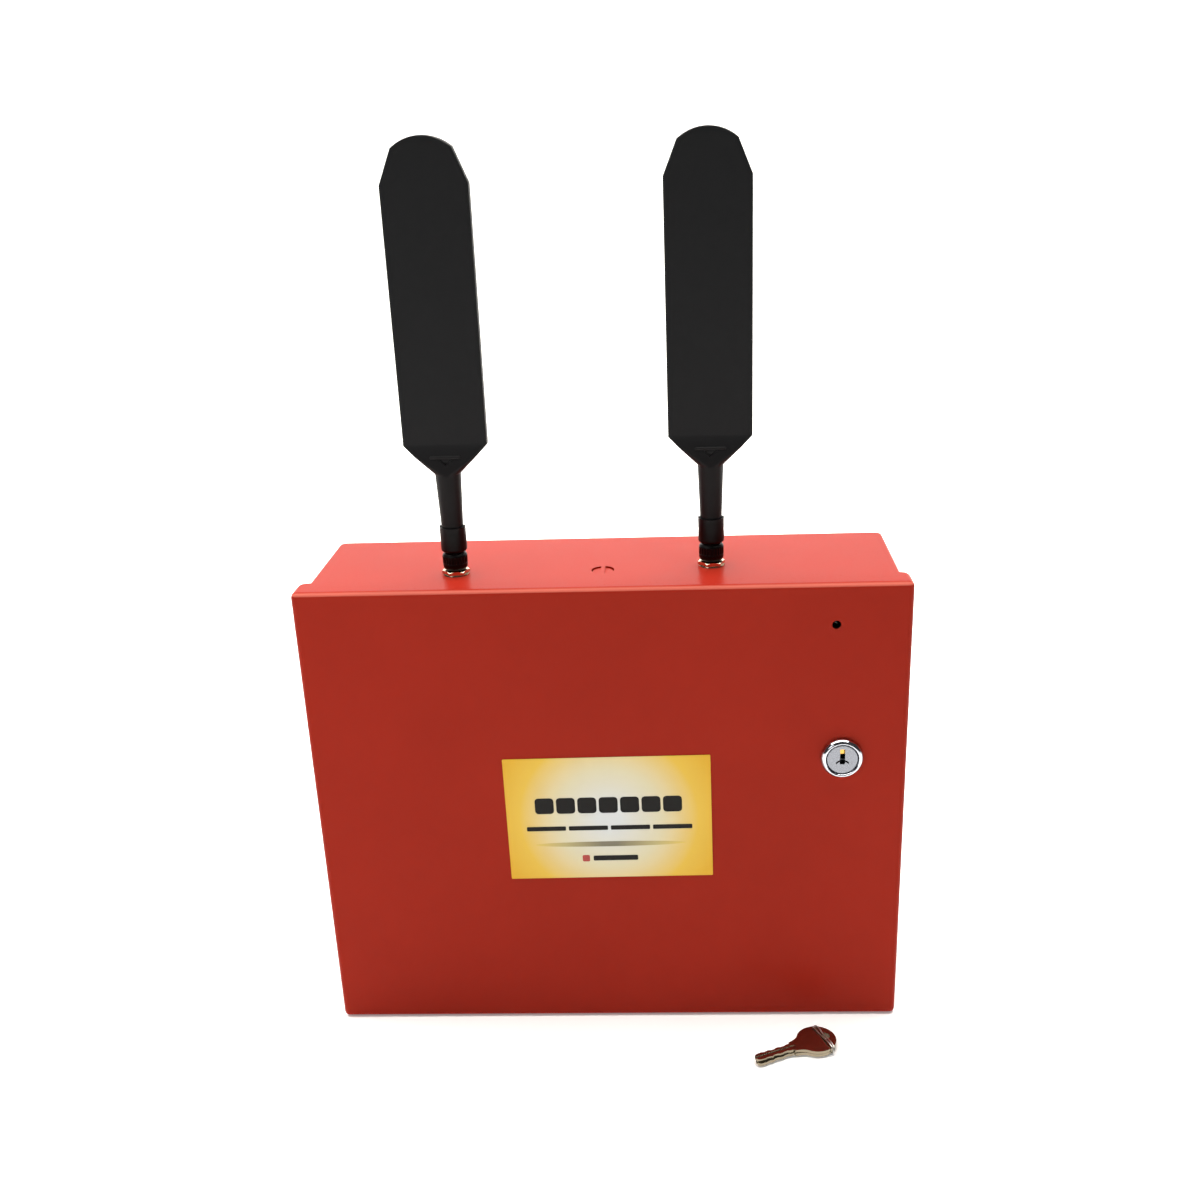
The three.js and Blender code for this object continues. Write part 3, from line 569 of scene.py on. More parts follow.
def plan_outline(inset, front_radius, back_radius):
    """The cabinet's outline seen from above, drawn in by the given distance."""
    left, right = BOX_LOW.x + inset, BOX_HIGH.x - inset
    front, back = BOX_LOW.y + inset, BOX_HIGH.y - inset
    points = []
    for x, y, radius, start in (
        (right, back, back_radius, 0), (left, back, back_radius, 90),
        (left, front, front_radius, 180), (right, front, front_radius, 270),
    ):
        sign_x = -1 if x == right else 1
        sign_y = -1 if y == back else 1
        centre = (x + sign_x * radius, y + sign_y * radius)
        points += arc(centre, radius, start, start + 90, 6)
    return points


def knock_out(obj, centre, axis, radius, into):
    """Half-shears a disc in the sheet: sunk a little, held by a level tie at each end of one diameter.

    into is -1 or 1: the way the disc is pressed along the axis."""
    position = "xyz".index(axis)
    face, tie, sunk, slit, end_gap = centre[position], 1.0, 0.6, 0.5, 4
    hub = [value for index, value in enumerate(centre) if index != position]
    edge = math.degrees(math.asin(tie / radius))
    start, end = sorted((face - into * 3, face + into * sunk))
    for turn in (0, 180):
        first, last = turn - 90 + edge, turn + 90 - edge
        cut(obj, prism("recess", arc(hub, radius, first, last, 32), start, end, axis))
        ring = arc(hub, radius + 0.1, first + end_gap, last - end_gap, 32)
        ring += arc(hub, radius - slit, last - end_gap, first + end_gap, 32)
        cut(obj, prism("slit", ring, face - 4, face + 4, axis))


def keyhole(x, z):
    """The cutter for a keyhole: a round hole for a screw's head, and a slot above it for its shank."""
    head_radius, shank_radius, rise = 4.25, 2.25, 11.25
    near, far = BOX_HIGH.y - 3, BOX_HIGH.y + 2
    head = disc("keyhole", head_radius, near, far, (x, 0, z))
    slot = rounded((x - shank_radius, z - 1), (x + shank_radius, z + rise), shank_radius - 0.01)
    return join(head, prism("keyhole", slot, near, far))


def cabinet_shell():
    """The back box: folded sheet with inturned lips, a stepped sill, knockouts and keyholes."""
    lip, sill_y, sill_z, jack_hole = 10, BOX_LOW.y + 13.7, 3.0, 3.4
    roof_knockout, conduit, conduit_y, conduit_z = 5.4, 11.1, 12, 100
    obj = prism("cabinet_shell", plan_outline(0, 1.8, 3.6), BOX_LOW.z, ROOF, "z")
    step_low = (BOX_LOW.x - 5, BOX_LOW.y - 5, -5)
    cut(obj, box("step", step_low, (BOX_HIGH.x + 5, sill_y, sill_z)))
    soften(obj, 1.5, 4, 60)
    apply_modifiers(obj)
    cavity = prism("cavity", plan_outline(SHEET, 0.7, 2.4), SHEET, ROOF - SHEET, "z")
    cut(cavity, box("step", step_low, (BOX_HIGH.x + 5, sill_y + SHEET, sill_z + SHEET)))
    mouth = box("mouth", (BOX_LOW.x + lip, BOX_LOW.y - 3, sill_z + lip),
                (BOX_HIGH.x - lip, BOX_LOW.y + 3, ROOF - lip))
    cutters = [cavity, mouth]
    for side in SIDES:
        hub = middle("antenna_jack_" + side)
        cutters.append(disc("hole", jack_hole, ROOF - 4, ROOF + 4, (hub.x, hub.y, 0), "z"))
    cutters += [keyhole(x, z) for x in (-125, 125) for z in (18, 206)]
    cut(obj, *cutters)
    knock_out(obj, (-0.3, -9, ROOF), "z", roof_knockout, -1)
    for x in (-100, 108):
        knock_out(obj, (x, 10, 0), "z", conduit, 1)
    knock_out(obj, (BOX_LOW.x, conduit_y, conduit_z), "x", conduit, 1)
    knock_out(obj, (BOX_HIGH.x, conduit_y, conduit_z), "x", conduit, -1)
    return piece(shade(obj), "cabinet", "red_powder_coat", paint, "back_box")


cabinet_shell()

# ---- Label ----


def rule_ink(middle_x, reach):
    """Grey ink that fades into the label's own colour towards both ends."""
    nodes = Nodes("rule_ink", specular=0.3)
    offset = nodes.add("ShaderNodeMath", {0: nodes.along("X"), 1: middle_x * MM}, operation="SUBTRACT")
    distance = nodes.add("ShaderNodeMath", {0: offset.outputs["Value"]}, operation="ABSOLUTE")
    dark, fading, gone = linear(118, 112, 92), linear(176, 164, 112), linear(212, 184, 88)
    outward = nodes.share(distance.outputs["Value"], 0, reach)
    colour = nodes.ramp(outward, [(0.1, dark), (0.6, fading), (1.0, gone)])
    return nodes.finish(colour, nodes.between(nodes.noise(900), 0.4, 0.5))


def label():
    """The label's film, and in place of its print plain bars and one square, laid out like its lines."""
    low, high = span("front_label")
    centre = (low + high) / 2
    near, far = low.y - 0.05, low.y + 0.02
    turn = Matrix.Rotation(math.radians(-0.6), 4, "Y")
    pivot = Matrix.Translation(centre * MM)

    def print_on(obj):
        obj.data.transform(pivot @ turn @ pivot.inverted())
        return obj

    def bars(name, rows, material):
        """Bars from rows of [left, bottom, width, height], taken from the label's middle."""
        def build(bm):
            for x, z, width, height in rows:
                low_corner = (centre.x + x, centre.z + z)
                high_corner = (low_corner[0] + width, low_corner[1] + height)
                add_prism(bm, rounded(low_corner, high_corner, min(width, height) * 0.2, 3), near, far)
        piece(print_on(make(name, build)), "door", "label_film", material)

    film = prism("label_film", rounded((low.x, low.z), (high.x, high.z), 0.5), low.y, high.y)
    soften(print_on(film), 0.05, 1)
    piece(shade(film), "door", "label_film", label_film, "front_label")
    bars("label_title", [(-35.8 + i * 10.4, 3.0, 9.2, 8.6) for i in range(7)], ink)
    bars("label_subtitle", [(-40.5 + i * 20.6, -6.4, 19.2, 2.4) for i in range(4)], ink)
    reach, bulge, steps = 37.0, 1.4, 64
    lens = [(centre.x + reach * math.cos(a), centre.z - 14.2 + bulge * math.sin(a))
            for a in (2 * math.pi * i / steps for i in range(steps))]
    rule = prism("label_rule", lens, near, far)
    piece(print_on(rule), "door", "label_film", rule_ink(centre.x, reach))
    bars("label_mark", [(-14.0, -23.9, 3.6, 3.6)], red_ink)
    bars("label_maker", [(-8.6, -23.5, 22.0, 2.8)], ink)


label()

# ---- Lock ----


def lock_housing(at):
    """The chromed bezel, and the threaded barrel behind it that the plug turns in."""
    rim = (span("lock_body")[1].x - span("lock_body")[0].x) / 2
    profile = [
        (7.5, -0.1), (rim - 0.1, -0.1), (rim, -0.3), (rim, -1.0), (rim - 0.25, -1.7), (rim - 0.7, -2.4),
        (rim - 1.2, -2.9), (rim - 1.7, -3.2), (8.1, -3.15), (7.8, -2.8), (7.62, -2.2), (7.5, -1.5),
    ]
    bezel = turned("lock_bezel", profile, at, "y", 96, True)
    piece(shade(bezel, 50), "door", "chrome_plate", chrome, "lock_body")
    barrel = prism("lock_barrel", double_d(8, 6.4), FRONT - 0.4, FRONT + 15.5)
    bore = disc("bore", 5.8, FRONT - 2, FRONT + 17, (at[0], 0, at[2]))
    piece(shade(soften(cut(barrel, bore), 0.3)), "door", "chrome_plate", chrome)


def lock_plug(at):
    """The plug: a round face with a keyway, a row of wafers and a shutter inside it."""
    x, y, z = at
    face = turned("lock_face", [(7.0, -2.6), (7.35, -2.3), (7.35, -1.5), (7.0, -1.5)], at, "y", 96)
    join(face, disc("plug", 5.5, -1.7, 15.7, at))
    slot = prism("slot", rounded((x - 1.2, z - 2.4), (x + 1.2, z + 5.4), 0.4), y - 4, y + 11)
    bow = (x, z - 4.4)
    ward = prism("ward", arc(bow, 4.3, 42, 138, 16) + arc(bow, 3.5, 144, 36, 16), y - 4, y + 8)
    cut(face, slot, ward)
    soften(face, 0.12, 2, 50)
    piece(shade(face, 50), "lock_plug", "chrome_plate", face_chrome, "lock_plug")

    def wafers(bm):
        for i in range(4):
            near, low = y - 0.6 + i * 2.2, z + 2.2 - i * 0.3
            add_box(bm, (x - 1.1, near, low), (x + 1.1, near + 1.2, z + 5.2))
    piece(shade(soften(make("lock_wafers", wafers), 0.1)), "lock_plug", "brass", brass)
    shutter = box_about("lock_shutter", at, (-1.15, -0.9, -2.4), (1.15, -0.3, -0.4))
    piece(shade(soften(shutter, 0.1)), "lock_plug", "chrome_plate", face_chrome)


lock_housing((LOCK.x, FRONT, LOCK.z))
lock_plug((LOCK.x, FRONT, LOCK.z))

# ---- Antennas ----

# How far the cutting tools reach past an antenna's parts, and the radius of the hole for its pin.
PAST, PIN_HOLE = 9, 1.35


def blade_sections(top):
    """The blade's sections from its neck to its tip: height, half width, half depth, corner radius."""
    wide, deep, corner = 19.6, 3.1, 1.2
    neck_top, blade_low, shoulder = 49.5, 63.2, 177.7
    sections = [(18.0, 5.1, 5.1, 5.05), (25.0, 5.2, 5.2, 5.15), (neck_top - 1, 6.05, 5.8, 5.75)]
    taper, bevel_steps, crown_steps = 10, 6, 12
    for i in range(taper + 1):
        share = i / taper
        half = 6.1 + (wide - 6.1) * share
        depth = 5.7 + (deep - 5.7) * share
        round_off = 5.5 + (1.3 - 5.5) * min(1.0, share * 1.6)
        height = neck_top + (blade_low - neck_top) * share
        sections.append((height, half, depth, min(round_off, depth - 0.05)))
    sections += [(blade_low + 1, wide, deep, corner), (shoulder, wide, deep, corner)]
    bevel, crown, rise = 15.1, 13.4, 5.0
    for i in range(1, bevel_steps + 1):
        share = i / bevel_steps
        sections.append((shoulder + bevel * share, wide - (wide - crown) * share, deep, corner))
    radius = (crown ** 2 + rise ** 2) / (2 * rise)
    for i in range(1, crown_steps + 1):
        angle = math.asin(crown / radius) * (1 - i / crown_steps)
        half = max(radius * math.sin(angle), 0.6)
        height = top - radius + radius * math.cos(angle)
        depth = deep - (i / crown_steps) ** 3
        sections.append((height, half, depth, min(corner, half * 0.9)))
    return sections


def roof_nut(side, at):
    """The washer and the domed hexagon nut that clamp the connector to the roof."""
    rim = [(3.5, 0.1), (6.3, 0.1), (6.4, 0.25), (6.3, 0.55), (3.5, 0.55)]
    washer = turned(f"antenna_{side}_washer", rim, at, closed=True)
    piece(shade(washer), "cabinet", "zinc_plated_steel", nut_plate)
    nut = prism(f"antenna_{side}_nut", arc(at[:2], 6.65, 10, 310, 5), ROOF + 0.6, ROOF + 2.3, "z")
    dome = turned("dome", [(3.4, 0.5), (6.7, 0.5), (6.7, 1.8), (5.9, 2.3), (3.4, 2.3)], at, closed=True)
    common(nut, dome)
    piece(shade(soften(nut, 0.1)), "cabinet", "zinc_plated_steel", nut_plate, "antenna_nut_" + side)


def roof_jack(side, at):
    """The threaded connector: its thread, and a hexagon flange under the roof."""
    pitch, low, high, crest, root = 0.64, -5.6, 7.8, 3.18, 2.9
    profile = [(2.2, -17.5), (2.2, -6.0), (3.1, -6.0)]
    for i in range(int((high - low) / pitch)):
        start = low + i * pitch
        profile += [(crest, start), (crest, start + pitch * 0.25), (root, start + pitch * 0.55)]
    profile += [(root, 8.0), (2.6, 8.2)]
    jack = turned(f"antenna_{side}_jack", profile, at, "z", 40)
    join(jack, prism("flange", arc(at[:2], 5.2, 0, 300, 5), ROOF - 3.6, ROOF - 1.3, "z"))
    piece(shade(jack, 30), "cabinet", "brass", brass, "antenna_jack_" + side)


def collar(side, at):
    """The screw-on collar: rounded foot, fine knurl near its top."""
    low, high = (corner.z - ROOF for corner in span("antenna_collar_" + side))
    outer, bore, steps, dent = 5.93, 3.4, 96, 0.28
    foot = [(4.2, low), (4.9, low + 0.15), (5.5, low + 0.7), (5.85, low + 1.6), (outer, low + 2.6),
            (outer, low + 3.4)]
    knurl = [(outer, low + 3.5), (outer, high - 1.2)]
    rest = [(outer, high - 1.1), (5.7, high - 0.4), (5.2, high), (bore, high), (bore, low)]
    rings = []
    bm = bmesh.new()
    for radius, height in foot + knurl + rest:
        ring = []
        for i in range(steps):
            angle = 2 * math.pi * i / steps
            r = radius - dent if (radius, height) in knurl and i % 4 < 2 else radius
            point = Vector((r * math.cos(angle), r * math.sin(angle), height)) + Vector(at)
            ring.append(bm.verts.new(point * MM))
        rings.append(ring)
    add_loft(bm, rings, True)
    obj = finish_mesh(f"antenna_{side}_collar", bm)
    piece(shade(obj), "cabinet", "black_plastic", black_gloss, "antenna_collar_" + side)


def knuckle(side, at, pin):
    """The fork the blade folds in, rounded about its pin at the top and back, and the pin's rivet."""
    low, top = (corner.z - ROOF for corner in span("antenna_knuckle_" + side))
    crown, outer = top - pin, 6.2
    profile = [(4.6, low), (4.7, low + 0.5), (5.7, low + 1.0), (6.05, low + 1.4), (outer, low + 2.2),
               (outer, top)]
    obj = turned(f"antenna_{side}_knuckle", profile, at, "z", 72)
    centre = (at[0], at[1], at[2] + pin)
    keep = disc("round", crown, -PAST, PAST, centre, "x", 64)
    foot = box_about("foot", at, (-PAST, -PAST, low - 1), (PAST, PAST, pin - crown))
    front = box_about("front", at, (-PAST, -PAST, low - 1), (PAST, 0, top - 0.4))
    common(obj, join(keep, foot, front))
    gap = box_about("gap", at, (-3.2, -3.9, pin - 3.8), (3.2, PAST, top + 2))
    cut(obj, gap, disc("hole", PIN_HOLE, -PAST, PAST, centre, "x", 24))
    soften(obj, 0.25, 2, 40)
    swivel = f"antenna_{side}_swivel"
    piece(shade(obj), swivel, "black_plastic", black_gloss, "antenna_knuckle_" + side)
    ends = [(0.9, -5.75), (1.2, -5.5), (1.2, 5.5), (0.9, 5.75)]
    rivet = turned(f"antenna_{side}_rivet", ends, centre, "x", 24)
    piece(shade(rivet), swivel, "zinc_plated_steel", zinc, "antenna_pin_" + side)


def blade(side, at, pin):
    """The blade with its neck, the moulded step and pocket on its taper, and the tab it folds on."""
    top = span("antenna_blade_" + side)[1].z - ROOF

    def build(bm):
        rings = []
        for height, half, depth, corner in blade_sections(top):
            outline = rounded((-half, -depth), (half, depth), corner, 8)
            rings.append([bm.verts.new((Vector((u, v, height)) + Vector(at)) * MM) for u, v in outline])
        add_loft(bm, rings)

    obj = make(f"antenna_{side}_blade", build)
    centre = (at[0], at[1], at[2] + pin)
    room = disc("room", 6.6, -PAST, PAST, centre, "x", 64)
    below = box_about("below", at, (-PAST, -PAST, 0), (PAST, PAST, pin))
    triangle = [(at[0] + x, at[2] + z) for x, z in ((-3.2, 56.8), (0, 54.2), (3.2, 56.8))]
    cut(obj, room, below, prism("pocket", triangle, at[1] - PAST, at[1] - 3.9))
    crease = box_about("crease", at, (-7.4, -4.6, 57.0), (7.4, 0, 58.6))
    soften(crease, 0.7, 3)
    apply_modifiers(crease)
    join(obj, crease)
    tab = box_about("tab", centre, (-2.95, -3.4, 0), (2.95, 3.4, 10))
    join(obj, tab, disc("eye", 3.4, -2.95, 2.95, centre, "x", 40))
    cut(obj, disc("hole", PIN_HOLE, -PAST, PAST, centre, "x", 24))
    piece(shade(obj, 25), f"antenna_{side}_blade", "black_plastic", blade_black, "antenna_blade_" + side)


for side in SIDES:
    hub = middle("antenna_nut_" + side)
    place = (hub.x, hub.y, ROOF)
    pin_height = middle("antenna_pin_" + side).z - ROOF
    roof_nut(side, place)
    roof_jack(side, place)
    collar(side, place)
    knuckle(side, place, pin_height)
    blade(side, place, pin_height)

# ---- Keys ----

KEYS_AT, KEYS_TURN, KEY_TILT = (100.4, -69.4, 0), math.pi + 0.43, 0.035


def key_outline():
    """A flat key along +X from the middle of its bow, with shallow cuts on both edges of its blade."""
    bow, half, shoulder, tip, end, root = 9.9, 2.5, 3.5, 34.2, 2.4, 14.0
    head = arc((0, 0), bow, 35, 325, 48)
    (x0, y0), (x1, y1), (x2, y2) = head[-1], (10.6, -3.8), (13.9, -shoulder)
    flare = []
    for i in range(1, 9):
        t = i / 8
        before, between, after = (1 - t) ** 2, 2 * t * (1 - t), t * t
        flare.append((before * x0 + between * x1 + after * x2, before * y0 + between * y1 + after * y2))
    edge = [(16.0, 0.0), (17.2, 0.5), (19.0, 0.5), (20.2, 0.1), (21.6, 0.1), (22.8, 0.6), (24.4, 0.6),
            (26.0, 0.0), (27.4, 0.35), (28.8, 0.35), (29.8, 0.0)]
    lower = flare + [(root, -half)] + [(x, -half + depth) for x, depth in edge]
    return head + lower + arc((tip - end, 0), end, -80, 80, 10) + [(x, -y) for x, y in reversed(lower)]


def key(name, node, tilt):
    """One key: its grooves, its hole, and its place on the floor."""
    low, high = span(node)
    hole_radius, hole_x, groove_start, past = 2.2, -5.3, 12.0, 40
    deep = (high.z - low.z) * 0.28
    obj = prism(name, key_outline(), low.z, high.z, "z")
    hole = disc("hole", hole_radius, low.z - 2, high.z + 2, (hole_x, 0, 0), "z", 32)
    groove = box("groove", (groove_start, -0.7, high.z - deep), (past, 0.7, high.z + 2))
    under = box("groove", (groove_start, -0.3, low.z - 2), (past, 1.1, low.z + deep))
    cut(obj, hole, groove, under)
    soften(obj, 0.3, 3, 45)
    apply_modifiers(obj)
    place = Matrix.Translation(Vector(KEYS_AT) * MM)
    obj.data.transform(place @ Matrix.Rotation(KEYS_TURN + tilt, 4, "Z"))
    return piece(shade(obj), "keys", "nickel_silver", nickel, node)


def keys():
    """Two stacked keys, and the thin wire wound one and a half times across their bows."""
    key("key_top", "key_upper", 0.0)
    key("key_bottom", "key_lower", KEY_TILT)
    over, under, out = span("key_upper")[1].z + 0.5, 0.78, 10.4
    route = [
        (-3.0, -8.6, over), (-3.2, 0, over), (-3.5, 8.8, over), (-3.6, out, 3.0), (-3.7, out, 1.6),
        (-3.8, 8.6, under), (-4.2, 0, under), (-4.6, -8.4, under), (-4.7, -out + 0.2, 1.6),
        (-4.7, -out + 0.2, 3.2), (-4.7, -8.4, over), (-4.6, 0, over), (-4.6, 8.6, over),
        (-4.6, out - 0.1, 3.4), (-4.7, out - 0.2, 2.4),
    ]
    turn = Matrix.Rotation(KEYS_TURN, 3, "Z")
    strand = wire("key_tie_wire", [turn @ Vector(point) + Vector(KEYS_AT) for point in route], 0.36)
    piece(strand, "keys", "zinc_plated_steel", tie_wire, "key_tie")


keys()

# ---- Main board ----

WAYS = 12

mask = surface("solder_mask", (22, 92, 50), (0.22, 0.36), 1400, 0.006, 0.12, 60, specular=0.5)
copper = surface("masked_copper", (34, 122, 66), (0.25, 0.4), 1400, 0.004, 0.06, 60)
silk = surface("board_ink", (222, 224, 216), (0.5, 0.6), 900, 0.004, 0.04)
epoxy = surface("chip_epoxy", (30, 31, 34), (0.4, 0.55), 2400, 0.01, 0.12)
tin = surface("tinned", (206, 208, 210), (0.2, 0.36), 1200, 0.006, 0.06, metallic=1.0)
ceramic = surface("ceramic", (150, 122, 88), (0.4, 0.5), 1600, 0.004, 0.1)
gold = surface("gold_flash", (226, 186, 96), (0.2, 0.32), 900, 0.004, 0.06, metallic=1.0)
terminal = surface("terminal_green", (36, 128, 62), (0.35, 0.5), 1200, 0.01, 0.06)
relay_blue = surface("relay_blue", (28, 66, 138), (0.3, 0.45), 900, 0.01, 0.05)
radio_blue = surface("radio_mask", (18, 44, 100), (0.22, 0.36), 1400, 0.006, 0.12, 60)
nylon = surface("nylon", (214, 212, 202), (0.4, 0.55), 900, 0.01, 0.05)
housing_grey = surface("button_plastic", (54, 57, 62), (0.4, 0.55), 1200, 0.01, 0.06)
cap_sleeve = surface("capacitor_sleeve", (22, 26, 44), (0.22, 0.34), 900, 0.006, 0.08)


def on_card(name, build, slot, material, width=0.0):
    """A fixed part of the cabinet, with its edges softened if a width is given."""
    obj = make(name, build)
    if width:
        soften(obj, width)
    return piece(shade(obj), "cabinet", slot, material)


def flat_boxes(bm, face, thick, rows):
    """Boxes standing off a card's face, from rows of [middle x, middle z, width, height]."""
    for x, z, width, height in rows:
        low = (x - width / 2, face - thick, z - height / 2)
        add_box(bm, low, (x + width / 2, face + 0.05, z + height / 2))


def chip(name, x, z, width, height, pitch, thick=1.6):
    """A moulded chip with its gull-wing legs along both long edges."""
    on_card(name + "_body", lambda bm: flat_boxes(bm, FACE - 0.1, thick, [(x, z, width, height)]),
            "black_plastic", epoxy, 0.2)
    count = int((width - pitch) / pitch) + 1
    first = x - (count - 1) * pitch / 2
    half = pitch * 0.22
    root, knee, toe = (height / 2 + reach for reach in (-0.1, 0.6, 1.3))
    parts = ((root, knee, 1.0, -0.75), (knee, toe, 0.3, 0.02), (knee - 0.15, knee + 0.1, 0.95, -0.05))

    def legs(bm):
        for i in range(count):
            for side in (-1, 1):
                at = first + i * pitch
                for inner, outer, off, back in parts:
                    low, high = sorted((z + side * inner, z + side * outer))
                    add_box(bm, (at - half, FACE - off, low), (at + half, FACE + back, high))
    on_card(name + "_legs", legs, "zinc_plated_steel", tin)


def chip_parts(name, face, places, size, material, slot):
    """Small two-ended parts: a body and a tinned cap on each end."""
    long, wide, thick = size
    bodies = [(x, z, long * 0.62, wide * 0.96) for x, z in places]
    caps = [(x + end * long * 0.4, z, long * 0.22, wide) for x, z in places for end in (-1, 1)]
    on_card(name + "_bodies", lambda bm: flat_boxes(bm, face, thick, bodies), slot, material)
    on_card(name + "_caps", lambda bm: flat_boxes(bm, face, thick + 0.03, caps), "zinc_plated_steel", tin)


def track(bm, route, width):
    """A raised copper track through corners given as x, z pairs."""
    for (x0, z0), (x1, z1) in zip(route, route[1:]):
        length = math.hypot(x1 - x0, z1 - z0)
        u, v = (z1 - z0) / length * width / 2, -(x1 - x0) / length * width / 2
        outline = [(x0 + u, z0 + v), (x1 + u, z1 + v), (x1 - u, z1 - v), (x0 - u, z0 - v)]
        add_prism(bm, outline, FACE - 0.06, FACE + 0.02)


def terminal_ways(side):
    """The middle of each way of a terminal block."""
    low, high = span("terminal_block_" + side)
    return [low.x + (i + 0.5) * (high.x - low.x) / WAYS for i in range(WAYS)]


def board_tracks(bm):
    """Tracks fanning out above the terminals, and two bundles higher up."""
    low = BLOCK_TOP + 4
    for side, x_to in (("left", -72), ("right", 26)):
        for i, x in enumerate(terminal_ways(side)):
            from_middle = i - (WAYS - 1) / 2
            target = x_to + from_middle * 2.2
            rise = low + abs(from_middle) * 0.9
            turn = rise + abs(target - x)
            track(bm, [(x, BLOCK_TOP + 0.4), (x, rise), (target, turn), (target, turn + 4)], 0.9)
    for i in range(9):
        z = 170 + i * 3.4
        track(bm, [(-78, z), (-62 + i, z), (-54 + i, z + 8), (-42, z + 8)], 0.6)
    for i in range(7):
        z = 166 + i * 4.2
        track(bm, [(40, z), (48 + i, z), (52 + i, z + 4), (64, z + 4)], 0.6)


def board_vias(bm):
    ring = [(0.25, FACE - 0.08), (0.6, FACE - 0.08), (0.6, FACE + 0.02), (0.25, FACE + 0.02)]
    for i in range(14):
        for j in range(3):
            add_turned(bm, ring, (-66 + i * 9.2, 0, 126.5 + j * 3.1), "y", 12, True)


def board_chips():
    """Four chips, and rows of resistors and ceramic capacitors around them."""
    chip("processor", 26, 146, 14, 14, 0.8, 1.5)
    chip("driver_chip", -60, 142, 10.2, 5.4, 1.27)
    chip("memory_chip", -60, 156, 5.2, 4.6, 1.27)
    chip("supply_chip", -3, 140, 10.2, 6.6, 1.27)
    resistors = [(-48 + i * 3.4, 137 + j * 3.0) for i in range(6) for j in range(4)]
    resistors += [(40 + (i % 3) * 3.4, 150 + (i // 3) * 2.6) for i in range(9)]
    chip_parts("board_resistor", FACE, resistors, (2.0, 1.2, 0.5), epoxy, "black_plastic")
    ceramics = [(10 + i * 3.6, 133) for i in range(5)]
    ceramics += [(-76 + (i % 2) * 4, 166 + (i // 2) * 3.4) for i in range(10)]
    chip_parts("board_ceramic", FACE, ceramics, (2.2, 1.4, 0.9), ceramic, "grey_plastic")


def service_header():
    pitch, half = 2.54, 0.32

    def pins(bm):
        for i in range(5):
            for j in range(2):
                at = (51 + i * pitch, FACE, 186 + j * pitch)
                add_box(bm, (at[0] - half, FACE - 8.4, at[2] - half), (at[0] + half, FACE, at[2] + half))
    on_card("service_pins", pins, "brass", gold, 0.08)
    on_card("service_header", lambda bm: flat_boxes(bm, FACE, 2.5, [(56.1, 187.3, 13, 5.1)]),
            "black_plastic", epoxy, 0.2)


def board_lamps(bm):
    profile = [(0.02, FACE - 3.4), (0.8, FACE - 3.2), (1.35, FACE - 2.4), (1.5, FACE - 0.8),
               (1.9, FACE - 0.7), (1.9, FACE)]
    for i in range(4):
        add_turned(bm, profile, (-70 + i * 6.0, 0, 213), "y", 20)


def board_marks(bm):
    """Plain ink lines between the terminals' ways and around three of the chips."""
    edge, line, rows = BLOCK_TOP + 1.2, 0.25, []
    for side in SIDES:
        ways = terminal_ways(side)
        rows.append(((ways[0] + ways[-1]) / 2, edge, 62, 0.3))
        rows += [(x + 2.5, edge + 0.9, 0.3, 1.6) for x in ways[:-1]]
    for x, z, w, h in ((26, 146, 18.6, 18.6), (-60, 142, 12.4, 9.8), (-3, 140, 12.4, 11)):
        rows += [(x, z + h / 2, w, line), (x, z - h / 2, w, line),
                 (x - w / 2, z, line, h), (x + w / 2, z, line, h)]
    flat_boxes(bm, FACE, 0.05, rows)


def main_board():
    on_card("board_tracks", board_tracks, "solder_mask", copper)
    on_card("board_vias", board_vias, "zinc_plated_steel", tin)
    board_chips()
    service_header()
    lens = surface("board_lamp_lens", (196, 214, 120), (0.1, 0.2), 900, 0.002, 0.06, transmission=0.5)
    on_card("board_lamps", board_lamps, "green_terminal_plastic", lens)
    on_card("board_marks", board_marks, "white_nylon", silk)


def terminal_screws(side):
    """Slotted clamp screws in the front of a terminal block, and the ridges between its ways."""
    low, high = span("terminal_block_" + side)
    ways = terminal_ways(side)
    step, height = ways[1] - ways[0], high.z - 4.5

    def screws(bm):
        for x in ways:
            add_turned(bm, [(1.75, low.y + 1.2), (1.75, low.y + 3.9)], (x, 0, height), "y", 20)

    def slots(bm):
        for x in ways:
            add_box(bm, (x - 2.2, low.y, height - 0.25), (x + 2.2, low.y + 1.9, height + 0.25))

    def ridges(bm):
        for x in ways[:-1]:
            edge = x + step / 2
            add_box(bm, (edge - 0.25, low.y - 0.35, low.z + 0.6), (edge + 0.25, low.y + 0.1, high.z - 0.3))
    obj = cut(make("terminal_screws_" + side, screws), make("slots", slots))
    piece(shade(soften(obj, 0.1)), "cabinet", "zinc_plated_steel", tin)
    on_card("terminal_ridges_" + side, ridges, "green_terminal_plastic", terminal, 0.1)


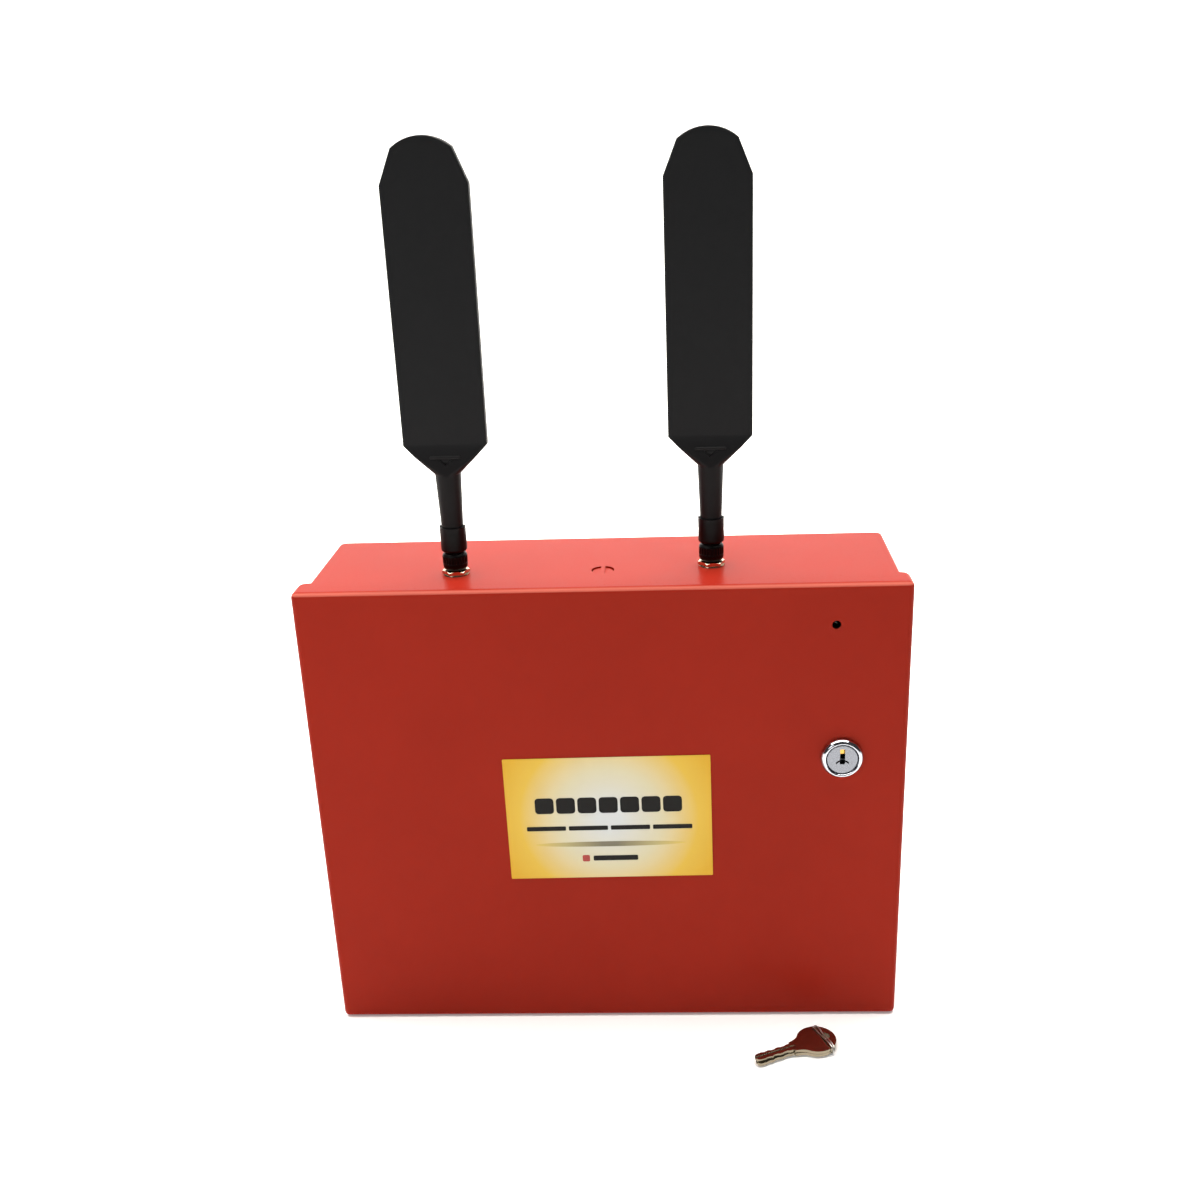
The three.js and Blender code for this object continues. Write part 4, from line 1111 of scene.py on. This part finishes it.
def radio_card():
    """The radio card: shield with press marks, edge pads, small parts and coaxial sockets."""
    face = RADIO_LOW.y + 1.4
    shield_low, shield_high = span("radio_shield")
    near = shield_low.y

    def dimples(bm):
        for i in range(9):
            for z in (shield_low.z + 3, shield_high.z - 3):
                at = (shield_low.x + 5 + i * 5, 0, z)
                add_turned(bm, [(0.02, near - 0.2), (0.5, near - 0.15), (0.8, near)], at, "y", 16)
    on_card("shield_dimples", dimples, "zinc_plated_steel", tin)
    pads = [(x, RADIO_LOW.z + 5 + i * 2.1, 1.6, 1.1) for i in range(22)
            for x in (RADIO_LOW.x + 1.2, RADIO_HIGH.x - 1.2)]
    on_card("radio_pads", lambda bm: flat_boxes(bm, face, 0.06, pads), "brass", gold)
    parts = [(-12 + i * 3.2, 203.5 + j * 2.6) for i in range(8) for j in range(2)]
    chip_parts("radio_part", face, parts, (1.6, 1.0, 0.6), ceramic, "grey_plastic")
    for side, x in zip(SIDES, (-22, 22)):
        ferrule = [(2.25, 20.1), (2.45, 20.3), (2.45, 22.5), (2.25, 22.7)]
        plug = turned("coax_ferrule_" + side, ferrule, (x, 0, 205), "y", 32)
        piece(shade(soften(plug, 0.1)), "cabinet", "brass", gold)


def capacitor_top():
    """The capacitor's metal top with its cross-shaped vent, and the pale stripe down its sleeve."""
    low, high = span("board_capacitor")
    centre = middle("board_capacitor")
    cap = disc("capacitor_vent", 6.4, low.y - 0.15, low.y + 0.2, (centre.x, 0, centre.z), "y", 40)
    grooves = [box("vent", (centre.x - a, low.y - 0.5, centre.z - b), (centre.x + a, low.y, centre.z + b))
               for a, b in ((4.6, 0.25), (0.25, 4.6))]
    piece(shade(cut(cap, *grooves)), "cabinet", "zinc_plated_steel", tin)
    hub = (centre.x, centre.z)
    stripe = arc(hub, 8.06, 200, 232, 6) + arc(hub, 7.9, 232, 200, 6)
    band = prism("capacitor_stripe", stripe, low.y + 1.4, high.y - 4)
    piece(shade(band), "cabinet", "grey_plastic", silk)


def button_cover():
    """The button's tin cover, held by four rivets."""
    low, high = span("button_housing")
    centre = middle("button_housing")
    outline = rounded((low.x - 0.1, low.z - 0.1), (high.x + 0.1, high.z + 0.1), 0.5)
    cover = prism("button_cover", outline, low.y - 0.25, low.y + 0.4)
    cut(cover, disc("hole", 2.1, low.y - 2, low.y + 3, (centre.x, 0, centre.z)))
    piece(shade(soften(cover, 0.08)), "cabinet", "zinc_plated_steel", tin)

    def rivets(bm):
        dome = [(0.02, low.y - 0.5), (0.3, low.y - 0.45), (0.4, low.y - 0.2)]
        for x in (-2.4, 2.4):
            for z in (-2.4, 2.4):
                add_turned(bm, dome, (centre.x + x, 0, centre.z + z), "y", 12)
    on_card("button_rivets", rivets, "black_plastic", epoxy)


dress("main_board", mask)
main_board()
radio_card()
capacitor_top()
button_cover()
for side in SIDES:
    dress("terminal_block_" + side, terminal)
    terminal_screws(side)
dress("relay", relay_blue, 0.5)
dress("radio_board", radio_blue)
dress("radio_shield", zinc, 0.12)
dress("board_capacitor", cap_sleeve, 0.3)
dress("button_housing", housing_grey)
dress("test_button", black_gloss, 0.25)
for number in range(1, 5):
    dress(f"board_standoff_{number}", nylon)

# ---- Battery, transformer and wiring ----

case_grey = surface("battery_case", (50, 53, 60), (0.38, 0.55), 1800, 0.03, 0.06)
case_mark = surface("battery_mark", (176, 178, 180), (0.4, 0.5), 900, 0.005, 0.04)
red_mark = surface("polarity_red", (176, 34, 28), (0.4, 0.5), 900, 0.005, 0.04)
cable_black = surface("cable_black", (20, 20, 22), (0.3, 0.45), 1400, 0.012, 0.1)
coax_black = surface("coax_jacket", (26, 24, 24), (0.22, 0.36), 1400, 0.012, 0.1)
cable_red = surface("cable_red", (150, 22, 20), (0.3, 0.45), 1400, 0.012, 0.1)
tape = surface("winding_tape", (196, 150, 46), (0.2, 0.34), 700, 0.02, 0.12, 30, (1, 1, 12))
bobbin = surface("bobbin_nylon", (30, 30, 32), (0.4, 0.55), 1200, 0.01, 0.08)
amber = surface("lamp_lens", (40, 44, 30), (0.08, 0.16), 900, 0.002, 0.06, transmission=0.4)


def lamination():
    """Stacked core sheets: fine dark lines across the depth of the stack."""
    nodes = Nodes("core_laminations", metallic=0.6)
    sheets = {"Vector": nodes.place, "Scale": 320, "Distortion": 0.4}
    lines = nodes.add("ShaderNodeTexWave", sheets, bands_direction="Y").outputs["Fac"]
    nodes.bump(lines, 0.05)
    colour = nodes.ramp(lines, [(0.2, linear(44, 43, 44)), (0.6, linear(104, 102, 100))])
    return nodes.finish(colour, nodes.between(nodes.noise(900), 0.35, 0.55))


def battery():
    """Ribs on the battery's front, and a strip of round vents on its top."""
    low, high = span("battery_case")
    centre, front = (low + high) / 2, low.y
    margin, rib, base, crown = 12, 1.6, low.z + 14, low.z + 70

    def ribs(bm):
        for z in (base, crown):
            add_box(bm, (low.x + margin, front - 0.7, z), (high.x - margin, front + 0.4, z + rib))
        for x in (low.x + margin, high.x - margin - rib):
            add_box(bm, (x, front - 0.7, base), (x + rib, front + 0.4, crown + rib))

    def vents(bm):
        for i in range(6):
            at = (centre.x - 45 + i * 18, centre.y + 8, high.z)
            add_turned(bm, [(0.02, 0.5), (5.0, 0.5), (5.6, 0.2), (5.6, -0.3)], at, "z", 40)
        left, right = centre.x - 56, centre.x + 56
        add_box(bm, (left, centre.y - 1, high.z - 0.3), (right, centre.y + 17, high.z + 0.2))
    on_card("battery_ribs", ribs, "battery_plastic", case_grey, 0.5)
    on_card("battery_vents", vents, "battery_plastic", case_grey, 0.15)


def polarity(name, material, bars):
    """A pole's sign beside it on the battery's top, from bars of [half width, nearest y, farthest y]."""
    x, y, top = (*middle("battery_terminal_" + name).xy, span("battery_case")[1].z)

    def sign(bm):
        for half, near, far in bars:
            add_box(bm, (x - half, y + near, top - 0.1), (x + half, y + far, top + 0.15))
    on_card("polarity_" + name, sign, "label_film", material)


def transformer():
    """The bobbin's cheeks above and below the winding, and its solder lugs."""
    low, high = span("transformer_winding")
    centre = (low + high) / 2

    def cheeks(bm):
        for z in (low.z - 0.25, high.z - 0.6):
            add_box(bm, (low.x + 0.3, low.y - 0.8, z), (high.x - 0.3, low.y + 4.6, z + 0.85))

    def lugs(bm):
        for offset in (-9, -3, 3, 9):
            x = centre.x + offset
            add_box(bm, (x - 0.6, low.y - 2.4, high.z - 2.4), (x + 0.6, low.y + 0.4, high.z - 2.0))
    on_card("bobbin_cheeks", cheeks, "black_plastic", bobbin, 0.2)
    on_card("bobbin_lugs", lugs, "zinc_plated_steel", tin, 0.08)


level_bar, upright_bar = (2.5, 8.2, 9.2), (0.5, 6.2, 11.2)
battery()
polarity("positive", red_mark, (level_bar, upright_bar))
polarity("negative", case_mark, (level_bar,))
transformer()
dress("battery_case", case_grey, 0.8)
dress("battery_retainer", paint)
dress("transformer_core", lamination())
dress("transformer_winding", tape, 0.6)
dress("battery_lead_red", cable_red, 0)
for node in ("battery_lead_black", "transformer_lead", "lamp_lead"):
    dress(node, cable_black, 0)
for side in SIDES:
    dress("coax_" + side, coax_black, 0)
dress("status_lamp", amber, 0.1)

# ---- Hinges and small hardware ----

for level in ("upper", "lower"):
    dress("hinge_leaf_cabinet_" + level, paint)
    dress("hinge_leaf_door_" + level, paint)
    dress("hinge_pin_" + level, zinc)
dress("lock_strike", paint)
for node in ("lock_nut", "lock_cam", "cam_screw", "battery_terminal_negative", "battery_terminal_positive",
             "transformer_frame", "lamp_bracket"):
    dress(node, zinc)
